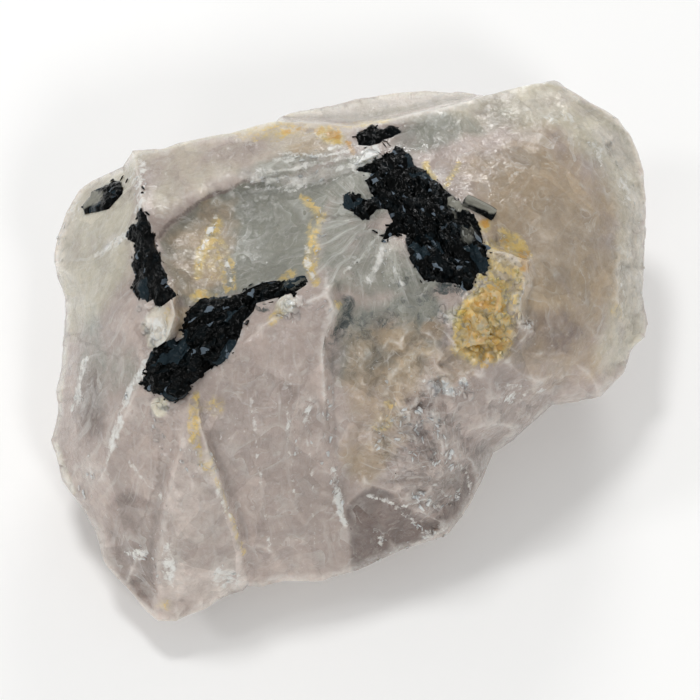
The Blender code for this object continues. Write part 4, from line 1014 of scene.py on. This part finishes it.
def add_lump(work, place, normal, run, size, dice_box, corners, sink=0.25):
    """An angular grain: the hull of points strewn over an oval.

    The size is its length along the run, its width and its height, in metres. The sink is the share of
    the height that is under the surface.
    """
    side = normal.cross(run).normalized()
    run = side.cross(normal).normalized()
    middle = place + normal * size[2] * (0.5 - sink)
    points = []
    for _ in range(corners):
        way = Vector([dice_box.gauss(0, 1) for _ in range(3)]).normalized() * dice_box.uniform(0.8, 1.1)
        shift = run * way.x * size[0] + side * way.y * size[1] + normal * way.z * size[2]
        points.append(work.verts.new(middle + shift / 2))
    made = bmesh.ops.convex_hull(work, input=points)
    inner = set(made["geom_interior"]) | set(made["geom_unused"])
    loose = [part for part in inner if isinstance(part, bmesh.types.BMVert) and not part.link_faces]
    bmesh.ops.delete(work, geom=loose, context="VERTS")


def finished_grains(work, name, look):
    """The grains as one flat-shaded piece of the stone."""
    mesh = bpy.data.meshes.new(name)
    bmesh.ops.recalc_face_normals(work, faces=work.faces)
    work.to_mesh(mesh)
    work.free()
    made = added(name, mesh)
    mesh.materials.append(look)
    mesh.shade_flat()
    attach(made, "root")
    return made


# Single needles, flecks and thin branches of tourmaline: (from, to, width), in drawing millimetres.
SPLINTERS = [
    ((-28.6, 21.9), (-28.4, 20.9), 0.3), ((-28, 21.5), (-27.7, 20.8), 0.25),
    ((-26, 20.8), (-25.8, 19.5), 0.45), ((-25.9, 19.9), (-26.1, 19.2), 0.4),
    ((-26.2, 17.8), (-25.9, 17.3), 0.45), ((-26.1, 16.9), (-25.8, 16), 0.5),
    ((4, 26.2), (4.5, 25.1), 0.18), ((4.5, 26.3), (5.3, 24.9), 0.2), ((2.4, 25), (2.9, 24.1), 0.16),
    ((2.8, 24.9), (3.5, 23.9), 0.16), ((3.1, 25.3), (3.9, 24.2), 0.1), ((2.8, 15.1), (3.6, 14.3), 0.35),
    ((3.5, 14.4), (4.7, 14.1), 0.4), ((4.6, 14), (5.8, 14.6), 0.5), ((5.4, 14.4), (6.8, 14.4), 0.6),
    ((4.8, 13.9), (4.6, 13.3), 0.25), ((5, 16.8), (6.3, 16.4), 0.4), ((1.1, 22.8), (2.4, 22.6), 0.35),
    ((2.2, 22.7), (3.6, 22.5), 0.5), ((0.8, 11), (0.9, 10.8), 0.25), ((5.6, -15.3), (5.7, -15.5), 0.25),
    ((11.2, -20.8), (11.3, -21), 0.22), ((4.4, 27.1), (5.6, 27.6), 0.4), ((5, 27.7), (5.7, 27), 0.3),
    ((-13.2, 17.4), (-13.1, 17.3), 0.18), ((16.9, 9.6), (16.5, 10.4), 0.4),
]
# How many grains are strewn along the edge of each crystal. The small prism's edge is clean. The edge
# is where the surface faces the camera this little, and the grains stray this far from it, in
# millimetres, and turn this many degrees from the columns.
EDGE_FACING = (0.05, 0.45)
EDGE_STRAY = 0.25
EDGE_TURN = 50
EDGE_GRAINS = {
    "tourmaline_mass": 150, "tourmaline_front_crystal": 130, "tourmaline_left_blade": 80,
    "tourmaline_left_chip": 14, "tourmaline_top_grain": 10,
}


def build_splinters(surface, crystals, look):
    """The needles and flecks, and the small broken grains that fray the crystals' edges."""
    work = bmesh.new()
    dice_box = random.Random(17)
    for start, end, width in SPLINTERS:
        place, normal = seen_spot(surface, (start[0] + end[0]) / 2, (start[1] + end[1]) / 2)
        run = way_of(end[0] - start[0], end[1] - start[1])
        size = (run.length * MM * 1.15, width * MM, width * MM * 0.9)
        add_lump(work, place, normal, run, size, dice_box, 9)
    for node, number in EDGE_GRAINS.items():
        drawing = Drawing(*numbers_of(crystals[node].data))
        at_edge = np.nonzero((drawing.facing > EDGE_FACING[0]) & (drawing.facing < EDGE_FACING[1]))[0]
        column = math.atan2(CRYSTALS[node][0][1], CRYSTALS[node][0][0])
        for _ in range(number):
            chosen = at_edge[dice_box.randrange(len(at_edge))]
            spot = [
                middle + dice_box.uniform(-EDGE_STRAY, EDGE_STRAY)
                for middle in (drawing.across[chosen], drawing.up[chosen])
            ]
            place, normal = seen_spot(surface, *spot)
            turn = column + math.radians(dice_box.uniform(-EDGE_TURN, EDGE_TURN))
            run = way_of(math.cos(turn), math.sin(turn))
            length = (0.3 + 0.9 * dice_box.random() ** 2) * MM
            size = (length, length * dice_box.uniform(0.3, 0.6), length * dice_box.uniform(0.3, 0.5))
            add_lump(work, place, normal, run, size, dice_box, 9)
    made = finished_grains(work, "schorl_splinters", look)
    store(made.data, "column_place", numbers_of(made.data)[0] / MM)
    return made


# Where the quartz is broken into grains: (number, smallest, largest, height share, tone, how far they
# are sunk, corners).
CRUMBS = [
    (22, 1.2, 3.2, 0.4, 0, 0.72, CRUST),
    (60, 0.4, 1.3, 0.4, 0.1, 0.62, CRUST),
    (9, 1, 2.2, 0.4, 0.3, 0.6, [(11, 5.2), (13, 6), (15, 5), (14.4, 3), (12.4, 2.6), (11, 3.6)]),
    (6, 0.7, 1.6, 0.4, 0.6, 0.6, [(21.2, 4.4), (22.8, 3.8), (22.6, 2.4), (21.2, 2.6)]),
    (12, 0.8, 2.2, 0.36, 0.3, 0.6, [(-9.2, 4.2), (-8.4, 6.2), (-5.6, 6.6), (-5, 5.4), (-7, 3.8)]),
    (20, 0.6, 1.8, 0.4, 0.6, 0.6, [(9.4, -3.6), (12, -3.2), (15.6, -4.2), (15.4, -5.6), (12, -6),
        (9.6, -5.4)]),
    (5, 1.4, 2.4, 0.36, 0.1, 0.6, [(-24.8, -6.2), (-22.8, -6), (-22.6, -8.4), (-24.6, -8.6)]),
    (12, 0.8, 2.6, 0.24, 0.2, 0.62, [(-26.4, 5.6), (-22.8, 6), (-22.2, 2.4), (-25, 0.6), (-26.6, 2.6)]),
    (8, 0.3, 1, 0.4, 0.5, 0.5, [(-24.4, -9.2), (-23.2, -9.4), (-23.2, -12.6), (-24.2, -12.6)]),
    (36, 0.5, 2, 0.22, 0.4, 0.6, [(3, -9), (9, -7), (12, -8), (13.4, -14), (11, -18), (6, -15),
        (3, -12)]),
]
# White flakes along the edges of the fractures, whose white is partly a painted highlight for the glints
# there: (number, spread, size of the largest, the line). Most are about as small as the smallest.
SMALLEST_FLAKE = 0.2
FLAKES = [
    (34, 0.5, 1.2, [(-12.5, 21.2), (-6, 21.8), (0, 23.2)]),
    (20, 0.4, 1, [(-9.8, 23.6), (-5, 24.2), (-1, 25.2)]),
    (12, 0.3, 0.8, [(-16.6, 16.4), (-17.6, 13.8), (-18.9, 10)]),
    (12, 0.3, 0.7, [(-15.6, 12.8), (-14.8, 10.4), (-14.6, 7.8)]),
    (22, 0.35, 0.9, [(-5.4, 19), (-3.6, 16.8), (-4.4, 13.8), (-5, 10), (-4.4, 8.6)]),
    (44, 0.4, 1.2, [(-2.9, -4), (-2.6, -12), (-1.8, -17), (-0.6, -21.6)]),
    (26, 0.3, 0.9, [(-17.4, -13), (-15.2, -20), (-13.4, -26)]),
    (24, 0.35, 0.9, [(-21.6, -12), (-23.2, -22), (-24, -30)]),
    (14, 0.4, 1.1, [(-25.6, -1.6), (-27.4, -5), (-29.6, -12.2)]),
    (8, 0.4, 0.9, [(-33.1, -1.2), (-34.6, -7.4)]),
    (12, 0.4, 0.9, [(-25.9, 24.4), (-26.4, 17)]),
    (10, 0.4, 0.9, [(-27.2, 14.8), (-31.6, 11.8)]),
    (30, 0.7, 1, [(9.6, -4.2), (15.6, -4.9)]),
    (36, 0.5, 1.6, [(10.4, -7.8), (8.6, -7.4), (4.5, -9), (3.4, -12)]),
    (26, 0.5, 1.6, [(9, -7.8), (8.2, -11), (6.6, -14.4)]),
    (30, 0.5, 1.6, [(9.8, -8), (12, -11.4), (12.8, -15)]),
    (30, 1.8, 1.2, [(6, -11), (10.6, -13), (9, -16)]),
    (26, 0.6, 1.6, [(8.6, -17.6), (10.4, -19.4), (13.4, -17.6)]),
    (22, 0.5, 1.2, [(7.6, -20.8), (9.6, -23.4), (11.6, -22.2)]),
    (8, 0.4, 0.9, [(3, -22.4), (4.4, -24)]),
    (16, 0.4, 1, [(-36.8, 6), (-36.4, 14), (-34, 20.2)]),
    (14, 0.4, 1, [(36.6, 20), (36.8, 12), (36.6, 5)]),
    (12, 0.4, 1, [(26, 33.8), (31.6, 30.2), (35, 27)]),
    (18, 0.4, 1, [(0.6, -27.6), (6.4, -25), (11.4, -22.6)]),
    (18, 0.8, 1.1, [(-32.6, -14.4), (-32.8, -18)]),
    (12, 0.8, 1, [(-26.8, -24.6), (-24.6, -25.6)]),
    (18, 0.6, 0.8, [(30.2, 26.8), (33, 24.6), (35.8, 19.6), (34.8, 10.6)]),
    (12, 0.3, 0.8, [(21.6, 8.6), (21, 5), (20.6, 1.8)]),
    (14, 0.8, 0.5, [(3.8, 15), (2.6, 12), (0.4, 9)]),
    (14, 0.8, 0.5, [(4, 14.6), (4.4, 11), (5, 8)]),
    (14, 0.7, 0.8, [(-8.4, 3.6), (-5, 5.6), (-2.6, 5.8)]),
    (20, 1.2, 0.9, [(-5.4, -7), (-5.8, -14)]),
    (16, 1, 0.9, [(-20.4, -10), (-18.4, -16)]),
    (14, 0.8, 0.9, [(-16.4, -27.4), (-14, -28.6)]),
    (14, 1.6, 0.7, [(1.6, -2), (7, -4)]),
    (12, 0.6, 0.8, [(-23.8, -8.6), (-23.6, -13)]),
    (16, 0.6, 0.6, [(12, 21.6), (15.6, 13.8), (20.6, 14.4)]),
]
# A flat splinter of clean white quartz beside the black mass.
WHITE_SHARD = [(0.5, 23), (1.6, 24.6), (2.8, 25.8), (3.5, 24.4), (3.1, 23.5), (1.9, 22.9)]


def add_plate(work, surface, outline, height, inset):
    """A flat splinter: the outline on the surface, and one raised over it that is smaller by a share."""
    places = [seen_spot(surface, *corner) for corner in outline]
    middle = sum((place for place, _ in places), Vector()) / len(places)
    up = sum((normal for _, normal in places), Vector()).normalized()
    low = [work.verts.new(place - up * height) for place, _ in places]
    high = [work.verts.new(place + (middle - place) * inset + up * height) for place, _ in places]
    bmesh.ops.convex_hull(work, input=low + high)


def spots_inside(corners, number, dice_box):
    """So many places of the drawing plane, strewn over an outline."""
    low, high = np.min(corners, axis=0), np.max(corners, axis=0)
    spots = []
    while len(spots) < number:
        spot = [dice_box.uniform(low[axis], high[axis]) for axis in (0, 1)]
        if in_area(np.array(spot[:1]), np.array(spot[1:]), (0.1, 1, corners))[0] > 0.5:
            spots.append(spot)
    return spots


def marked(work, layers, before, values):
    """Gives the corners that were added since the same numbers."""
    for vertex in set(work.verts) - before:
        for layer, value in zip(layers, values):
            vertex[layer] = value


def add_flakes(work, surface, layers, dice_box):
    """Small white flakes strewn along the lines of FLAKES, most of them tiny."""
    for number, spread, largest, line in FLAKES:
        for _ in range(number):
            part = dice_box.randrange(len(line) - 1)
            start, end = np.array(line[part]), np.array(line[part + 1])
            spot = start + (end - start) * dice_box.random()
            place, normal = seen_spot(surface, *[middle + dice_box.gauss(0, spread) for middle in spot])
            if place is None:
                continue
            turn = math.atan2(end[1] - start[1], end[0] - start[0]) + dice_box.gauss(0, 0.5)
            run = way_of(math.cos(turn), math.sin(turn))
            length = (SMALLEST_FLAKE + (largest - SMALLEST_FLAKE) * dice_box.random() ** 2) * MM
            size = (length, length * dice_box.uniform(0.25, 0.6), length * 0.3)
            before = set(work.verts)
            add_lump(work, place, normal, run, size, dice_box, 10)
            marked(work, layers, before, (dice_box.uniform(0, 0.8), dice_box.uniform(0.6, 1.4)))


def build_crumbs(surface, look):
    """Angular grains and flakes of quartz, as in the yellow crust and where the face is crushed."""
    work = bmesh.new()
    layers = [work.verts.layers.float.new(name) for name in ("tone", "whiteness")]
    dice_box = random.Random(29)
    for number, smallest, largest, height, tone, sink, corners in CRUMBS:
        for spot in spots_inside(corners, number, dice_box):
            place, normal = seen_spot(surface, *spot)
            length = (smallest + (largest - smallest) * dice_box.random() ** 2) * MM
            run = Vector([dice_box.gauss(0, 1) for _ in range(3)])
            lean = Vector([dice_box.gauss(0, 0.25) for _ in range(3)])
            before = set(work.verts)
            size = (length, length * dice_box.uniform(0.6, 0.95), length * height)
            add_lump(work, place, (normal + lean).normalized(), run, size, dice_box, 14, sink)
            marked(work, layers, before, (tone + dice_box.uniform(-0.2, 0.2), 0))
    add_flakes(work, surface, layers, dice_box)
    before = set(work.verts)
    add_plate(work, surface, WHITE_SHARD, height=0.5 * MM, inset=0.12)
    marked(work, layers, before, (0.6, 1))
    made = finished_grains(work, "rose_quartz_grains", look)
    drawing = Drawing(*numbers_of(made.data))
    # A grain is coloured by its place, whichever way its faces turn.
    drawing.front[:] = 1
    whiteness = np.empty(len(drawing.front))
    made.data.attributes["whiteness"].data.foreach_get("value", whiteness)
    for name, marks in INGREDIENTS.items():
        share = painted(drawing, marks)
        store(made.data, name, np.maximum(share, whiteness) if name == "milk" else share)
    return made


def studio_paper():
    """A pale paper sheet, pressed smooth and left uncoated, so that it is matte."""
    made, _, shader = new_material("studio_paper_matte")
    shader.inputs["Base Color"].default_value = linear(PAPER_WHITE)
    shader.inputs["Roughness"].default_value = 0.9
    shader.inputs["Specular IOR Level"].default_value = 0.2
    return made


def build_floor():
    """The sheet that the stone lies on, a hair under its base."""
    bpy.ops.mesh.primitive_plane_add(size=6, location=(0, 0, -0.05 * MM))
    floor = bpy.context.object
    floor.name = "floor"
    floor.data.materials.append(studio_paper())


def light_studio():
    """Round softboxes over the stone, before it, at its left and behind it, and an even white room."""
    for name, place, width, power in (
        ("overhead_softbox", (-0.16, 0.26, 0.82), 0.17, 2.0),
        ("front_softbox", (0.25, -0.6, 0.6), 0.16, 1.5),
        ("low_front_softbox", (-0.3, -0.85, 0.24), 0.16, 1.3),
        ("left_softbox", (-0.62, -0.1, 0.5), 0.12, 0.8),
        ("back_softbox", (0.1, 0.6, 0.3), 0.2, 1.2),
    ):
        data = bpy.data.lights.new(name, "AREA")
        data.shape = "DISK"
        data.size = width
        data.energy = power
        lamp = added(name, data)
        lamp.location = place
        lamp.rotation_euler = (LAMP_AIM - lamp.location).to_track_quat("-Z", "Y").to_euler()
    world = bpy.data.worlds.new("white_room")
    world.use_nodes = True
    room = world.node_tree.nodes["Background"]
    room.inputs["Color"].default_value = linear(ROOM_WHITE)
    room.inputs["Strength"].default_value = 0.42
    bpy.context.scene.world = world
    bpy.context.scene.view_settings.view_transform = "Standard"


def place_camera():
    """The camera at the photograph's viewing angle, with everything sharp."""
    data = bpy.data.cameras.new("camera")
    data.lens = data.sensor_width * VIEW_DISTANCE / PICTURE_WIDTH
    data.clip_start = 10 * MM
    camera = added("camera", data)
    camera.location = EYE
    camera.rotation_euler = (-TOWARD).to_track_quat("-Z", "Y").to_euler()
    bpy.context.scene.camera = camera


def main():
    """Sets up the studio and builds the stone with its crystals, splinters and grains."""
    place_camera()
    light_studio()
    build_floor()
    stone = build_stone()
    surface = surface_of(stone)
    black = schorl()
    crystals = {node: build_crystal(node, black) for node in CRYSTALS}
    build_splinters(surface, crystals, black)
    build_crumbs(surface, stone.data.materials[0])


main()
